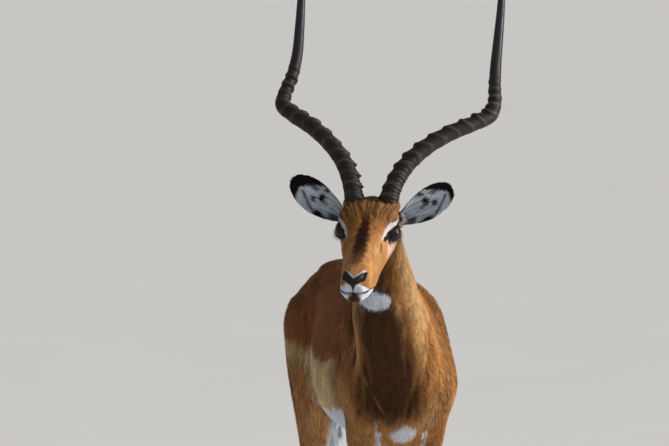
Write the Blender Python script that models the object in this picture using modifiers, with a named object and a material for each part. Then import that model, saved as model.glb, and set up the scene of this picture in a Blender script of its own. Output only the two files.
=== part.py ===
"""An impala ram, life size, standing square with its head turned to its right.

Metres, +Z up. The ram faces -Y, and its own left side is +X. The hooves stand on z = 0, and the
origin is the middle of the space that the model takes, at floor level. Every solid runs out to
the tips of the coat. The body is a row of closed outlines, each set between a point on the back
line and a point on the belly line; the head, legs and tail are rows of outlines along their own axes.
"""

import math
from collections import namedtuple

import bmesh
import bpy
import numpy as np
from mathutils import Quaternion, Vector

# ---------------------------------------------------------------- driving dimensions
GAP = 0.0003  # clearance between solids that touch
TRUNK_MESH = (24, 24)  # outlines along each form, and points around each outline
NECK_MESH = (12, 24)
HEAD_MESH = (18, 20)
UPPER_LEG_MESH = (15, 12)
LOWER_LEG_MESH = (12, 10)
EAR_MESH = (10, 8)

HEAD_YAW = math.radians(18.0)  # turn of the face to the ram's right
HEAD_PITCH = math.radians(28.0)  # dip of the head's long axis below level
HEAD_ROLL = math.radians(2.5)  # tilt of the crown to the ram's left
HEAD_ORIGIN = Vector((-0.103, -0.305, 1.099))  # above the nape, level with the forehead

EYE_RADIUS = 0.0165
EYE_PLACE = (0.098, -0.042, 0.0475)  # along the head, above its top line, out from the middle

HORN_BASE = (0.036, -0.012, 0.0360)
HORN_RADIUS = 0.0205  # at the burr
HORN_RINGS = 16
HORN_RING_HEIGHT = 0.0022
HORN_RINGED = 0.56  # share of the horn's length that carries rings

EAR_LENGTH = 0.141
EAR_THICKNESS = 0.0042
EAR_ROOT = (0.016, -0.063, 0.0530)
EAR_LIFT = math.radians(28.0)
EAR_FORWARD = math.radians(17.0)

CARPUS_CUT = 0.300  # heights at which the legs are divided
HOCK_CUT = 0.372
CORONET = 0.044  # height of the top of the hoof
HOOF_LENGTH = 0.062
HOOF_WIDTH = 0.0185  # of one claw

FOOTPRINT = Vector((0.045, -0.120, 0.0))  # moves the middle of the model's box onto the origin

# ---------------------------------------------------------------- outlines along the body
# x: sideways place. top, low: (y, z) on the back line and on the belly line. half: half the
# width. widest: where it is reached, as a share of the height. peak, keel: how full the outline
# is above and below that place, 2 being an ellipse.
Rib = namedtuple("Rib", "x top low half widest peak keel")

TRUNK = (
    Rib(0.000, (0.718, 0.792), (0.716, 0.742), 0.010, 0.50, 2.0, 2.0),
    Rib(0.000, (0.706, 0.822), (0.700, 0.700), 0.036, 0.55, 2.0, 2.0),
    Rib(0.000, (0.668, 0.864), (0.662, 0.655), 0.072, 0.60, 2.1, 2.0),
    Rib(0.000, (0.612, 0.893), (0.608, 0.632), 0.089, 0.62, 2.3, 2.0),
    Rib(0.000, (0.545, 0.908), (0.545, 0.612), 0.096, 0.64, 2.4, 2.0),
    Rib(0.000, (0.476, 0.907), (0.476, 0.588), 0.099, 0.60, 2.2, 2.0),
    Rib(0.000, (0.400, 0.898), (0.400, 0.560), 0.108, 0.53, 2.0, 2.1),
    Rib(0.000, (0.314, 0.890), (0.314, 0.542), 0.117, 0.47, 1.95, 2.2),
    Rib(0.000, (0.229, 0.887), (0.229, 0.533), 0.120, 0.45, 1.9, 2.2),
    Rib(0.000, (0.143, 0.891), (0.143, 0.529), 0.116, 0.45, 1.8, 2.1),
    Rib(0.000, (0.067, 0.899), (0.067, 0.529), 0.103, 0.46, 1.7, 2.0),
    Rib(0.000, (0.010, 0.906), (0.000, 0.531), 0.092, 0.47, 1.65, 1.9),
    Rib(0.000, (-0.028, 0.909), (-0.060, 0.540), 0.088, 0.47, 1.7, 1.9),
    Rib(-0.006, (-0.056, 0.918), (-0.115, 0.568), 0.087, 0.45, 1.60, 1.9),
    Rib(-0.016, (-0.085, 0.934), (-0.160, 0.615), 0.087, 0.43, 1.50, 2.0),
    Rib(-0.034, (-0.115, 0.955), (-0.190, 0.675), 0.084, 0.42, 1.35, 2.0),
)
NECK = (
    TRUNK[-1],
    Rib(-0.049, (-0.148, 0.981), (-0.212, 0.742), 0.077, 0.42, 1.35, 2.0),
    Rib(-0.060, (-0.182, 1.010), (-0.229, 0.810), 0.064, 0.43, 1.50, 2.0),
    Rib(-0.070, (-0.215, 1.040), (-0.242, 0.872), 0.0510, 0.45, 1.75, 2.0),
    Rib(-0.080, (-0.247, 1.066), (-0.254, 0.925), 0.0460, 0.48, 2.0, 2.0),
    Rib(-0.088, (-0.275, 1.078), (-0.268, 0.962), 0.0450, 0.50, 2.0, 2.0),
    Rib(-0.095, (-0.300, 1.073), (-0.292, 0.990), 0.0410, 0.50, 2.0, 2.0),
)

# ---------------------------------------------------------------- outlines along the head
# along: distance from the nape towards the nose. top, low: heights from the head's top line.
Slice = namedtuple("Slice", "along top low half widest peak keel")

HEAD = (
    Slice(-0.020, -0.052, -0.088, 0.022, 0.55, 2.0, 2.0),
    Slice(0.000, -0.022, -0.118, 0.047, 0.58, 2.1, 2.0),
    Slice(0.028, -0.003, -0.136, 0.0570, 0.62, 2.3, 1.8),
    Slice(0.060, 0.004, -0.145, 0.0610, 0.66, 2.6, 1.6),
    Slice(0.090, 0.005, -0.146, 0.0620, 0.69, 2.7, 1.5),
    Slice(0.112, 0.001, -0.146, 0.0580, 0.68, 2.6, 1.5),
    Slice(0.140, -0.007, -0.141, 0.0500, 0.63, 2.3, 1.6),
    Slice(0.168, -0.014, -0.136, 0.0435, 0.57, 2.2, 1.8),
    Slice(0.200, -0.021, -0.130, 0.0395, 0.52, 2.2, 2.0),
    Slice(0.230, -0.028, -0.123, 0.0365, 0.50, 2.3, 2.1),
    Slice(0.258, -0.036, -0.114, 0.0340, 0.50, 2.4, 2.2),
    Slice(0.277, -0.045, -0.105, 0.0290, 0.49, 2.3, 2.1),
    Slice(0.288, -0.056, -0.094, 0.0190, 0.48, 2.1, 2.1),
)
MOUTH = ((0.310, -0.0760), (0.262, -0.0800), (0.205, -0.1000), (0.140, -0.1220), (0.080, -0.1650))  # (along, height)

# ---------------------------------------------------------------- outlines down the legs
# z: height. front, back: y of the leg's two edges. side: x of the middle on the left leg.
Level = namedtuple("Level", "z front back side half")

FORELEG = (
    Level(0.893, 0.010, 0.050, 0.038, 0.014),
    Level(0.872, -0.012, 0.064, 0.052, 0.024),
    Level(0.842, -0.042, 0.082, 0.062, 0.034),
    Level(0.790, -0.088, 0.090, 0.067, 0.040),
    Level(0.740, -0.128, 0.086, 0.072, 0.045),
    Level(0.690, -0.150, 0.078, 0.076, 0.0485),
    Level(0.640, -0.132, 0.066, 0.076, 0.0455),
    Level(0.590, -0.096, 0.054, 0.072, 0.0405),
    Level(0.548, -0.064, 0.048, 0.067, 0.037),
    Level(0.510, -0.050, 0.034, 0.063, 0.0325),
    Level(0.460, -0.037, 0.022, 0.060, 0.0270),
    Level(0.410, -0.029, 0.017, 0.058, 0.0230),
    Level(0.360, -0.0245, 0.0150, 0.0565, 0.0200),
    Level(0.330, -0.0245, 0.0160, 0.0560, 0.0205),
    Level(0.303, -0.0260, 0.0165, 0.0560, 0.0220),
    Level(0.278, -0.0225, 0.0165, 0.0560, 0.0195),
    Level(0.250, -0.0165, 0.0150, 0.0560, 0.0150),
    Level(0.185, -0.0150, 0.0145, 0.0555, 0.0138),
    Level(0.125, -0.0165, 0.0165, 0.0550, 0.0150),
    Level(0.098, -0.0205, 0.0195, 0.0550, 0.0185),
    Level(0.078, -0.0245, 0.0130, 0.0550, 0.0168),
    Level(0.060, -0.0325, 0.0050, 0.0550, 0.0165),
    Level(CORONET + GAP, -0.0410, 0.0010, 0.0550, 0.0190),
)
HINDLEG = (
    Level(0.880, 0.480, 0.575, 0.040, 0.018),
    Level(0.862, 0.462, 0.615, 0.050, 0.032),
    Level(0.835, 0.448, 0.655, 0.059, 0.046),
    Level(0.785, 0.434, 0.700, 0.065, 0.057),
    Level(0.725, 0.424, 0.716, 0.067, 0.056),
    Level(0.665, 0.414, 0.712, 0.069, 0.053),
    Level(0.615, 0.416, 0.694, 0.069, 0.048),
    Level(0.572, 0.436, 0.674, 0.067, 0.044),
    Level(0.532, 0.466, 0.662, 0.066, 0.037),
    Level(0.492, 0.501, 0.656, 0.065, 0.0310),
    Level(0.452, 0.541, 0.661, 0.065, 0.0255),
    Level(0.422, 0.573, 0.675, 0.065, 0.0222),
    Level(0.396, 0.595, 0.693, 0.065, 0.0215),
    Level(0.375, 0.609, 0.701, 0.065, 0.0222),
    Level(0.350, 0.617, 0.687, 0.065, 0.0212),
    Level(0.320, 0.620, 0.667, 0.065, 0.0178),
    Level(0.270, 0.619, 0.656, 0.065, 0.0152),
    Level(0.190, 0.611, 0.647, 0.064, 0.0150),
    Level(0.125, 0.603, 0.641, 0.063, 0.0158),
    Level(0.098, 0.596, 0.638, 0.063, 0.0188),
    Level(0.078, 0.588, 0.627, 0.063, 0.0170),
    Level(0.060, 0.577, 0.617, 0.063, 0.0165),
    Level(CORONET + GAP, 0.567, 0.611, 0.063, 0.0190),
)

# Tail: (y, z) down its middle, then half its width and half its depth.
TAIL = (
    (0.690, 0.815, 0.016, 0.016),
    (0.718, 0.801, 0.018, 0.017),
    (0.741, 0.758, 0.017, 0.014),
    (0.748, 0.700, 0.018, 0.013),
    (0.747, 0.630, 0.022, 0.015),
    (0.741, 0.560, 0.025, 0.016),
    (0.735, 0.500, 0.019, 0.012),
    (0.731, 0.462, 0.006, 0.005),
)

# Horn: out from the middle, up, and back from the burr, then the lean of both horns to the ram's
# left, and the radius as a share of the burr's.
HORN = (
    (0.000, -0.012, 0.000, 0.000, 1.00),
    (0.001, 0.012, 0.000, 0.000, 0.98),
    (0.007, 0.036, 0.006, 0.000, 0.94),
    (0.027, 0.078, 0.022, 0.001, 0.89),
    (0.063, 0.118, 0.043, 0.002, 0.86),
    (0.107, 0.149, 0.066, 0.004, 0.83),
    (0.153, 0.172, 0.090, 0.006, 0.80),
    (0.182, 0.190, 0.112, 0.009, 0.76),
    (0.184, 0.214, 0.136, 0.012, 0.70),
    (0.177, 0.247, 0.160, 0.015, 0.64),
    (0.173, 0.290, 0.181, 0.017, 0.57),
    (0.173, 0.345, 0.197, 0.018, 0.50),
    (0.174, 0.415, 0.205, 0.019, 0.40),
    (0.173, 0.488, 0.203, 0.020, 0.27),
    (0.170, 0.560, 0.190, 0.021, 0.07),
)

# Ear: share of its length, half its flat width, then the arc that the flat width is rolled into.
EAR = (
    (0.00, 0.0200, math.radians(250)),
    (0.12, 0.0270, math.radians(235)),
    (0.30, 0.0370, math.radians(190)),
    (0.50, 0.0405, math.radians(140)),
    (0.70, 0.0360, math.radians(105)),
    (0.86, 0.0255, math.radians(85)),
    (0.95, 0.0150, math.radians(70)),
    (1.00, 0.0040, math.radians(60)),
)

FLESH = (0.42, 0.20, 0.09)
WHITE = (0.72, 0.70, 0.66)
BLACK = (0.02, 0.018, 0.016)
HORN_COLOUR = (0.085, 0.068, 0.058)


# ---------------------------------------------------------------- shape tools
def through(knots, values, wanted):
    """A smooth curve through the values at the knots, each knot's slope being its parabola's."""
    knots = np.asarray(knots, float)
    values = np.asarray(values, float).reshape(len(knots), -1)
    step = np.diff(knots)[:, None]
    slope = np.diff(values, axis=0) / step
    inner = (slope[:-1] * step[1:] + slope[1:] * step[:-1]) / (step[1:] + step[:-1])
    tangent = np.vstack([slope[:1], inner, slope[-1:]])
    i = np.clip(np.searchsorted(knots, wanted, side="right") - 1, 0, len(knots) - 2)
    width = step[i]
    t = (np.asarray(wanted)[:, None] - knots[i][:, None]) / width
    return (
        (2 * t**3 - 3 * t**2 + 1) * values[i]
        + (t**3 - 2 * t**2 + t) * width * tangent[i]
        + (3 * t**2 - 2 * t**3) * values[i + 1]
        + (t**3 - t**2) * width * tangent[i + 1]
    )


def denser(knots, rings):
    """That many places from the first knot to the last, spread as the knots are."""
    return np.interp(np.linspace(0, len(knots) - 1, rings), np.arange(len(knots)), knots)


def outlines(centre, side, up, half, above, below, peak, keel, around, grow):
    """Closed outlines, one a row: two half superellipses that meet at the widest place."""
    angle = 2 * math.pi * (np.arange(around) + 0.5) / around
    cos, sin = np.cos(angle)[None, :], np.sin(angle)[None, :]
    upper = sin >= 0
    power = 2 / np.where(upper, peak[:, None], keel[:, None])
    out = (half[:, None] + grow) * np.sign(cos) * np.abs(cos) ** power
    rise = (np.where(upper, above[:, None], below[:, None]) + grow) * np.sign(sin) * np.abs(sin) ** power
    return centre[:, None, :] + out[..., None] * side[:, None, :] + rise[..., None] * up[:, None, :]


def place(obj, colour, roughness=0.7):
    """Gives the object its material and puts it in the ram's collection."""
    look = bpy.data.materials.new(obj.name)
    look.use_nodes = True
    shader = look.node_tree.nodes["Principled BSDF"]
    shader.inputs["Base Color"].default_value = (*colour, 1.0)
    shader.inputs["Roughness"].default_value = roughness
    shader.inputs["Metallic"].default_value = 0.0
    obj.data.materials.clear()
    obj.data.materials.append(look)
    ram.objects.link(obj)
    return obj


def loft(name, rings):
    """A closed mesh of triangles through the rings, with a flat face at each end.

    The same corners always give the same triangles, so that a solid and the room cut for it agree.
    """
    mesh = bmesh.new()
    rows = [[mesh.verts.new(point) for point in ring] for ring in rings]
    count = len(rows[0])
    for low, high in zip(rows, rows[1:]):
        for i in range(count):
            j = (i + 1) % count
            mesh.faces.new((low[i], low[j], high[j]))
            mesh.faces.new((low[i], high[j], high[i]))
    mesh.faces.new(rows[0])
    mesh.faces.new(rows[-1])
    bmesh.ops.recalc_face_normals(mesh, faces=mesh.faces)
    data = bpy.data.meshes.new(name)
    mesh.to_mesh(data)
    mesh.free()
    data.shade_smooth()
    data.set_sharp_from_angle(angle=math.radians(50))
    return bpy.data.objects.new(name, data)


def make_cutter(obj):
    """Keeps the object out of the model: it only shapes others."""
    tools.objects.link(obj)
    obj.hide_render = True
    obj.display_type = "WIRE"
    return obj


def boolean(obj, other, operation="DIFFERENCE"):
    step = obj.modifiers.new(other.name, "BOOLEAN")
    step.operation = operation
    step.solver = "EXACT"
    step.object = other


# ---------------------------------------------------------------- body
def body_rings(ribs, rings, around, grow=0.0):
    """The outlines of the trunk or neck, in planes that hold both the back point and the belly point."""
    table = np.array([(r.x, *r.top, *r.low, r.half, r.widest, r.peak, r.keel) for r in ribs])
    knots = np.arange(len(ribs))
    row = through(knots, table, np.linspace(0, len(ribs) - 1, rings))
    x, half, widest, peak, keel = row[:, 0], row[:, 5], row[:, 6], row[:, 7], row[:, 8]
    top = np.column_stack([x, row[:, 1], row[:, 2]])
    low = np.column_stack([x, row[:, 3], row[:, 4]])
    height = np.linalg.norm(top - low, axis=1)
    up = (top - low) / height[:, None]
    centre = low + widest[:, None] * (top - low)
    # The planes of the neck lean with its bend, so that they stay square to the way it goes.
    way = np.gradient(centre, axis=0)
    side = np.cross(way, up)
    side /= np.linalg.norm(side, axis=1)[:, None]
    return outlines(
        centre, side, up, half, height * (1 - widest), height * widest, peak, keel, around, grow
    )


def make_trunk():
    return place(loft("trunk", body_rings(TRUNK, *TRUNK_MESH)), FLESH)


def make_neck(trunk_end):
    """The neck starts from the trunk's last outline, a gap further on, and stops at the skull."""
    rings = body_rings(NECK, *NECK_MESH)
    ahead = rings[1].mean(axis=0) - rings[0].mean(axis=0)
    rings[0] = trunk_end + GAP * ahead / np.linalg.norm(ahead)
    neck = place(loft("neck", rings), FLESH)
    boolean(neck, make_cutter(loft("skull_room", head_rings(grow=GAP))))
    return neck


# ---------------------------------------------------------------- head
def head_axes():
    """The head's own directions: towards the nose, up from the forehead, and to the ram's left."""
    level = Vector((-math.sin(HEAD_YAW), -math.cos(HEAD_YAW), 0.0))
    forward = math.cos(HEAD_PITCH) * level - math.sin(HEAD_PITCH) * Vector((0, 0, 1))
    up = math.sin(HEAD_PITCH) * level + math.cos(HEAD_PITCH) * Vector((0, 0, 1))
    tilt = Quaternion(level, -HEAD_ROLL)
    forward, up = tilt @ forward, tilt @ up
    return forward, up, up.cross(forward), level


def on_head(along, height, out=0.0):
    forward, up, left, _ = head_axes()
    return HEAD_ORIGIN + along * forward + height * up + out * left


def head_rings(grow=0.0):
    rings, around = HEAD_MESH
    forward, up, left, _ = head_axes()
    table = np.array(HEAD)
    along = denser(table[:, 0], rings)
    reach = along.copy()
    reach[0] -= grow
    reach[-1] += grow
    row = np.column_stack([along, through(table[:, 0], table[:, 1:], along)])
    top, low, half, widest, peak, keel = row[:, 1:].T
    height = top - low
    level = low + widest * height
    centre = (
        np.array(HEAD_ORIGIN)
        + reach[:, None] * np.array(forward)
        + level[:, None] * np.array(up)
    )
    sides = np.tile(np.array(left), (rings, 1))
    ups = np.tile(np.array(up), (rings, 1))
    return outlines(
        centre, sides, ups, half, height * (1 - widest), height * widest, peak, keel, around, grow
    )


def mouth_wedge(name, lift):
    """The space under the line of the mouth and the jaw's hinge, as a slab across the head."""
    forward, up, left, _ = head_axes()
    outline = [(along, height + lift) for along, height in MOUTH]
    outline += [(0.030, -0.200), (0.330, -0.200)]
    mesh = bmesh.new()
    half = 0.09
    rows = []
    for out in (-half, half):
        rows.append([mesh.verts.new(on_head(a, h, out)) for a, h in outline])
    for i in range(len(outline)):
        j = (i + 1) % len(outline)
        mesh.faces.new((rows[0][i], rows[0][j], rows[1][j], rows[1][i]))
    mesh.faces.new(rows[0])
    mesh.faces.new(rows[1])
    bmesh.ops.recalc_face_normals(mesh, faces=mesh.faces)
    data = bpy.data.meshes.new(name)
    mesh.to_mesh(data)
    mesh.free()
    return make_cutter(bpy.data.objects.new(name, data))


def ball(name, centre, radius):
    mesh = bmesh.new()
    bmesh.ops.create_uvsphere(mesh, u_segments=12, v_segments=8, radius=radius)
    bmesh.ops.translate(mesh, vec=centre, verts=mesh.verts)
    data = bpy.data.meshes.new(name)
    mesh.to_mesh(data)
    mesh.free()
    data.shade_smooth()
    return bpy.data.objects.new(name, data)


def make_head():
    """The skull with the upper lip and nose, and the lower jaw under the line of the mouth."""
    head = place(loft("head", head_rings()), FLESH)
    boolean(head, mouth_wedge("mouth_line", GAP / 2))
    jaw = place(loft("lower_jaw", head_rings()), WHITE)
    boolean(jaw, mouth_wedge("mouth_under", -GAP / 2), "INTERSECT")
    along, height, out = EYE_PLACE
    for word, sign in (("left", 1), ("right", -1)):
        centre = on_head(along, height, sign * out)
        place(ball(f"eye_{word}", centre, EYE_RADIUS), BLACK, 0.1)
        boolean(head, make_cutter(ball(f"socket_{word}", centre, EYE_RADIUS + GAP)))
        boolean(head, make_cutter(loft(f"burr_{word}", horn_rings(sign, GAP)[:9])))
        boolean(head, make_cutter(ear(f"ear_room_{word}", sign, GAP)))
    return head


# ---------------------------------------------------------------- horns
def horn_rings(sign, grow=0.0):
    """Round outlines along the horn, standing proud at each ring and most so on the front."""
    _, _, left, level = head_axes()
    table = np.array(HORN)
    base = np.array(on_head(HORN_BASE[0], HORN_BASE[1], sign * HORN_BASE[2]))
    spots = (
        base
        + (sign * table[:, 0:1] + table[:, 3:4]) * np.array(left)
        + table[:, 1:2] * np.array(level.cross(left))
        - table[:, 2:3] * np.array(level)
    )
    reach = np.concatenate([[0], np.cumsum(np.linalg.norm(np.diff(spots, axis=0), axis=1))])
    share = reach / reach[-1]
    ringed = np.linspace(0, HORN_RINGED, 2 * HORN_RINGS + 1)
    at = np.concatenate([ringed, np.linspace(HORN_RINGED, 1, 11)[1:]])
    centre = through(share, spots, at)
    radius = HORN_RADIUS * through(share, table[:, 4], at)[:, 0]
    way = np.gradient(centre, axis=0)
    way /= np.linalg.norm(way, axis=1)[:, None]
    side = np.cross(way, -np.array(level))
    side /= np.linalg.norm(side, axis=1)[:, None]
    front = np.cross(side, way)
    crest = np.where(at <= HORN_RINGED, 0.5 - 0.5 * np.cos(2 * math.pi * at / HORN_RINGED * HORN_RINGS), 0)
    centre[0] -= grow * way[0]
    angle = 2 * math.pi * np.arange(8) / 8
    bump = crest[:, None] * HORN_RING_HEIGHT * (0.55 + 0.45 * np.sin(angle)[None, :])
    r = radius[:, None] + bump + grow
    return (
        centre[:, None, :]
        + (r * np.cos(angle))[..., None] * side[:, None, :]
        + (r * np.sin(angle))[..., None] * front[:, None, :]
    )


def make_horns():
    for word, sign in (("left", 1), ("right", -1)):
        place(loft(f"horn_{word}", horn_rings(sign)), HORN_COLOUR, 0.45)


# ---------------------------------------------------------------- ears
def ear_axes(sign):
    """The ear's own directions: out along it, the way its hollow faces, and across it."""
    _, _, left, level = head_axes()
    flat = math.cos(EAR_FORWARD) * sign * left + math.sin(EAR_FORWARD) * level
    out = math.cos(EAR_LIFT) * flat + math.sin(EAR_LIFT) * Vector((0, 0, 1))
    facing = (level - level.dot(out) * out).normalized()
    return out, facing, out.cross(facing)


def ear(name, sign, grow=0.0):
    """A leaf rolled into a gutter that opens as it goes out, then given its thickness."""
    out, facing, across = (np.array(v) for v in ear_axes(sign))
    root = np.array(on_head(EAR_ROOT[0], EAR_ROOT[1], sign * EAR_ROOT[2]))
    table = np.array(EAR)
    rows, columns = EAR_MESH
    share = np.linspace(0, 1, rows) ** 0.9
    half, arc = through(table[:, 0], table[:, 1:], share).T
    turn = np.linspace(-0.5, 0.5, columns)[None, :] * arc[:, None]
    radius = 2 * half / arc
    turn[:, 0] -= grow / radius
    turn[:, -1] += grow / radius
    reach = share * EAR_LENGTH
    reach[0] -= grow
    centre = root + reach[:, None] * out
    points = (
        centre[:, None, :]
        + (radius[:, None] * np.sin(turn))[..., None] * across
        - (radius[:, None] * (np.cos(turn) - 0.4))[..., None] * facing
    )
    faces = [
        (i * columns + j, i * columns + j + 1, (i + 1) * columns + j + 1, (i + 1) * columns + j)
        for i in range(rows - 1)
        for j in range(columns - 1)
    ]
    data = bpy.data.meshes.new(name)
    data.from_pydata([tuple(p) for p in points.reshape(-1, 3)], [], faces)
    data.shade_smooth()
    obj = bpy.data.objects.new(name, data)
    shell = obj.modifiers.new("thickness", "SOLIDIFY")
    shell.thickness = EAR_THICKNESS + 2 * grow
    shell.offset = 0.0
    return obj


def make_ears():
    for word, sign in (("left", 1), ("right", -1)):
        place(ear(f"ear_{word}", sign), WHITE)


# ---------------------------------------------------------------- legs
def leg_rings(levels, sign, low, high, rings, around, grow=0.0):
    """Level outlines of a leg between two heights, its sides set back from its widest place."""
    table = np.array(levels)[::-1]
    heights = np.unique(np.concatenate([[low], table[(table[:, 0] > low) & (table[:, 0] < high), 0], [high]]))
    z = denser(heights, rings)
    front, back, side, half = through(table[:, 0], table[:, 1:], z).T
    middle = front + 0.45 * (back - front)
    centre = np.column_stack([sign * side, middle, z])
    across = np.tile([1.0, 0.0, 0.0], (rings, 1))
    ahead = np.tile([0.0, -1.0, 0.0], (rings, 1))
    full = np.full(rings, 2.1)
    return outlines(centre, across, ahead, half, middle - front, back - middle, full, full, around, grow)


def make_hooves(name, levels, sign):
    """Two claws to a foot, each flat below and inside, with its wall sloping out from the coronet."""
    _, front, back, side, half = levels[-1]
    for word, turn in (("inner", -1), ("outer", 1)):
        inner = sign * side + sign * turn * 0.0008
        rings = []
        for z, lead, trail, width in (
            (0.0, front - 0.020, back + 0.004, HOOF_WIDTH + 0.002),
            (0.012, front - 0.019, back + 0.005, HOOF_WIDTH + 0.002),
            (0.028, front - 0.008, back + 0.005, HOOF_WIDTH + 0.0005),
            (CORONET, front + 0.002, back + 0.001, HOOF_WIDTH - 0.0005),
        ):
            length = trail - lead
            outline = [
                (inner, trail - 0.10 * length, z),
                (inner + sign * turn * 0.60 * width, trail, z),
                (inner + sign * turn * 0.95 * width, trail - 0.22 * length, z),
                (inner + sign * turn * width, trail - 0.50 * length, z),
                (inner + sign * turn * 0.78 * width, trail - 0.78 * length, z),
                (inner + sign * turn * 0.28 * width, lead, z),
                (inner, lead + 0.06 * length, z),
            ]
            rings.append(np.array(outline))
        place(loft(f"{name}_{word}", rings), BLACK, 0.4)


def make_legs(trunk_room):
    """Each leg is divided at the carpus or hock, and its top is set against the trunk."""
    for word, sign in (("left", 1), ("right", -1)):
        for name, levels, cut in (("fore", FORELEG, CARPUS_CUT), ("hind", HINDLEG, HOCK_CUT)):
            top, foot = levels[0].z, levels[-1].z
            upper = loft(f"{name}leg_upper_{word}", leg_rings(levels, sign, cut + GAP, top, *UPPER_LEG_MESH))
            boolean(place(upper, FLESH), trunk_room)
            lower = leg_rings(levels, sign, foot, cut, *LOWER_LEG_MESH)
            place(loft(f"{name}leg_lower_{word}", lower), FLESH)
            make_hooves(f"{name}hoof_{word}", levels, sign)


# ---------------------------------------------------------------- tail
def make_tail(trunk_room):
    table = np.array(TAIL)
    knots = np.arange(len(table))
    row = through(knots, table, np.linspace(0, len(table) - 1, 12))
    centre = np.column_stack([np.zeros(len(row)), row[:, 0], row[:, 1]])
    way = np.gradient(centre, axis=0)
    way /= np.linalg.norm(way, axis=1)[:, None]
    across = np.tile([1.0, 0.0, 0.0], (len(row), 1))
    behind = np.cross(across, way)
    full = np.full(len(row), 2.0)
    rings = outlines(centre, across, behind, row[:, 2], row[:, 3], row[:, 3], full, full, 10, 0.0)
    boolean(place(loft("tail", rings), FLESH), trunk_room)


# ---------------------------------------------------------------- assembly
for old in list(bpy.data.objects):
    bpy.data.objects.remove(old)
ram = bpy.data.collections.new("impala_ram")
tools = bpy.data.collections.new("cutters")
bpy.context.scene.collection.children.link(ram)
bpy.context.scene.collection.children.link(tools)

make_trunk()
make_neck(body_rings(TRUNK, *TRUNK_MESH)[-1])
make_head()
make_horns()
make_ears()
trunk_room = make_cutter(loft("trunk_room", body_rings(TRUNK, *TRUNK_MESH, grow=GAP)))
make_legs(trunk_room)
make_tail(trunk_room)

for obj in list(ram.objects) + list(tools.objects):
    obj.location = obj.location + FOOTPRINT
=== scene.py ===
"""The looks of an impala ram: one skin with its markings, a coat of tufts, eyes, horns and hooves.

Metres, in the row frame. Shapes are worked out in the ram's own body frame, where y = 0 lies at the
withers and the ram faces -Y, and every finished piece is moved onto the CAD by FOOTPRINT.
"""
import math
from collections import namedtuple

import bpy
import numpy as np
from bpy.props import FloatProperty, FloatVectorProperty, PointerProperty
from bpy.types import Operator, Panel, PropertyGroup
from mathutils import Matrix


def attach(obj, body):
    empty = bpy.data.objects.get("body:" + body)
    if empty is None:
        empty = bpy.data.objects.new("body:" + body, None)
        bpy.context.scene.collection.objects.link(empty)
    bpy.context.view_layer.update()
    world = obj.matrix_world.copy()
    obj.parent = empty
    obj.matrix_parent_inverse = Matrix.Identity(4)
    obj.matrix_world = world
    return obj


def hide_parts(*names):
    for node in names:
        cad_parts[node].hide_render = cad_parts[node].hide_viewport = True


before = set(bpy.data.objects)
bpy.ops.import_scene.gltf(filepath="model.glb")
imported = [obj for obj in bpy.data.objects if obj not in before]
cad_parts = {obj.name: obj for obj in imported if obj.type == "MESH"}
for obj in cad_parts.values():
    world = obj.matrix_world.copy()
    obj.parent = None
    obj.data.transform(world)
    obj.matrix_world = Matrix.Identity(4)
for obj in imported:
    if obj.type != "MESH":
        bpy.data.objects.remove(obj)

bl_info = {
    "name": "Impala ram",
    "version": (1, 0, 0),
    "blender": (4, 5, 0),
    "location": "View3D > Sidebar > Impala",
    "description": "Builds the skin, coat, eyes, horns and hooves of a life-size impala ram",
    "category": "Object",
}

# ---------------------------------------------------------------- the ram's measures, as in its CAD
FOOTPRINT = np.array((0.045, -0.120, 0.0))
HEAD_YAW = math.radians(18.0)
HEAD_PITCH = math.radians(28.0)
HEAD_ROLL = math.radians(2.5)
HEAD_ORIGIN = np.array((-0.103, -0.305, 1.099))
EYE_PLACE = (0.099, -0.041, 0.0500)
EYE_RADIUS = 0.0172
EYE_OPEN = (math.radians(59), math.radians(37))  # half the lids' opening, along the eye and across it
HORN_BASE = (0.036, -0.012, 0.0360)
HORN_RADIUS = 0.0205
HORN_RINGS = 15
HORN_RINGED = 0.56  # share of the horn's length that carries rings
EAR_LENGTH = 0.141
EAR_ROOT = (0.016, -0.063, 0.0530)
EAR_LIFT = math.radians(28.0)
EAR_FORWARD = math.radians(17.0)
EAR_BEND = 0.011  # how far the ear's tip has curled up from its straight middle line
EAR_CURL = 1.6  # the power of its length by which it does so
CORONET = 0.044  # height at which the hair ends and the claws begin
HOOF_WIDTH = 0.0185
SADDLE_EDGE = 0.716  # height of the line between the saddle and the flank, behind the shoulder
BELLY_EDGE = 0.613  # height of the line between the flank and the white belly
HEEL_TUFT = (0.064, 0.646, 0.165)  # the black tuft over a hind fetlock, on the ram's left

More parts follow.
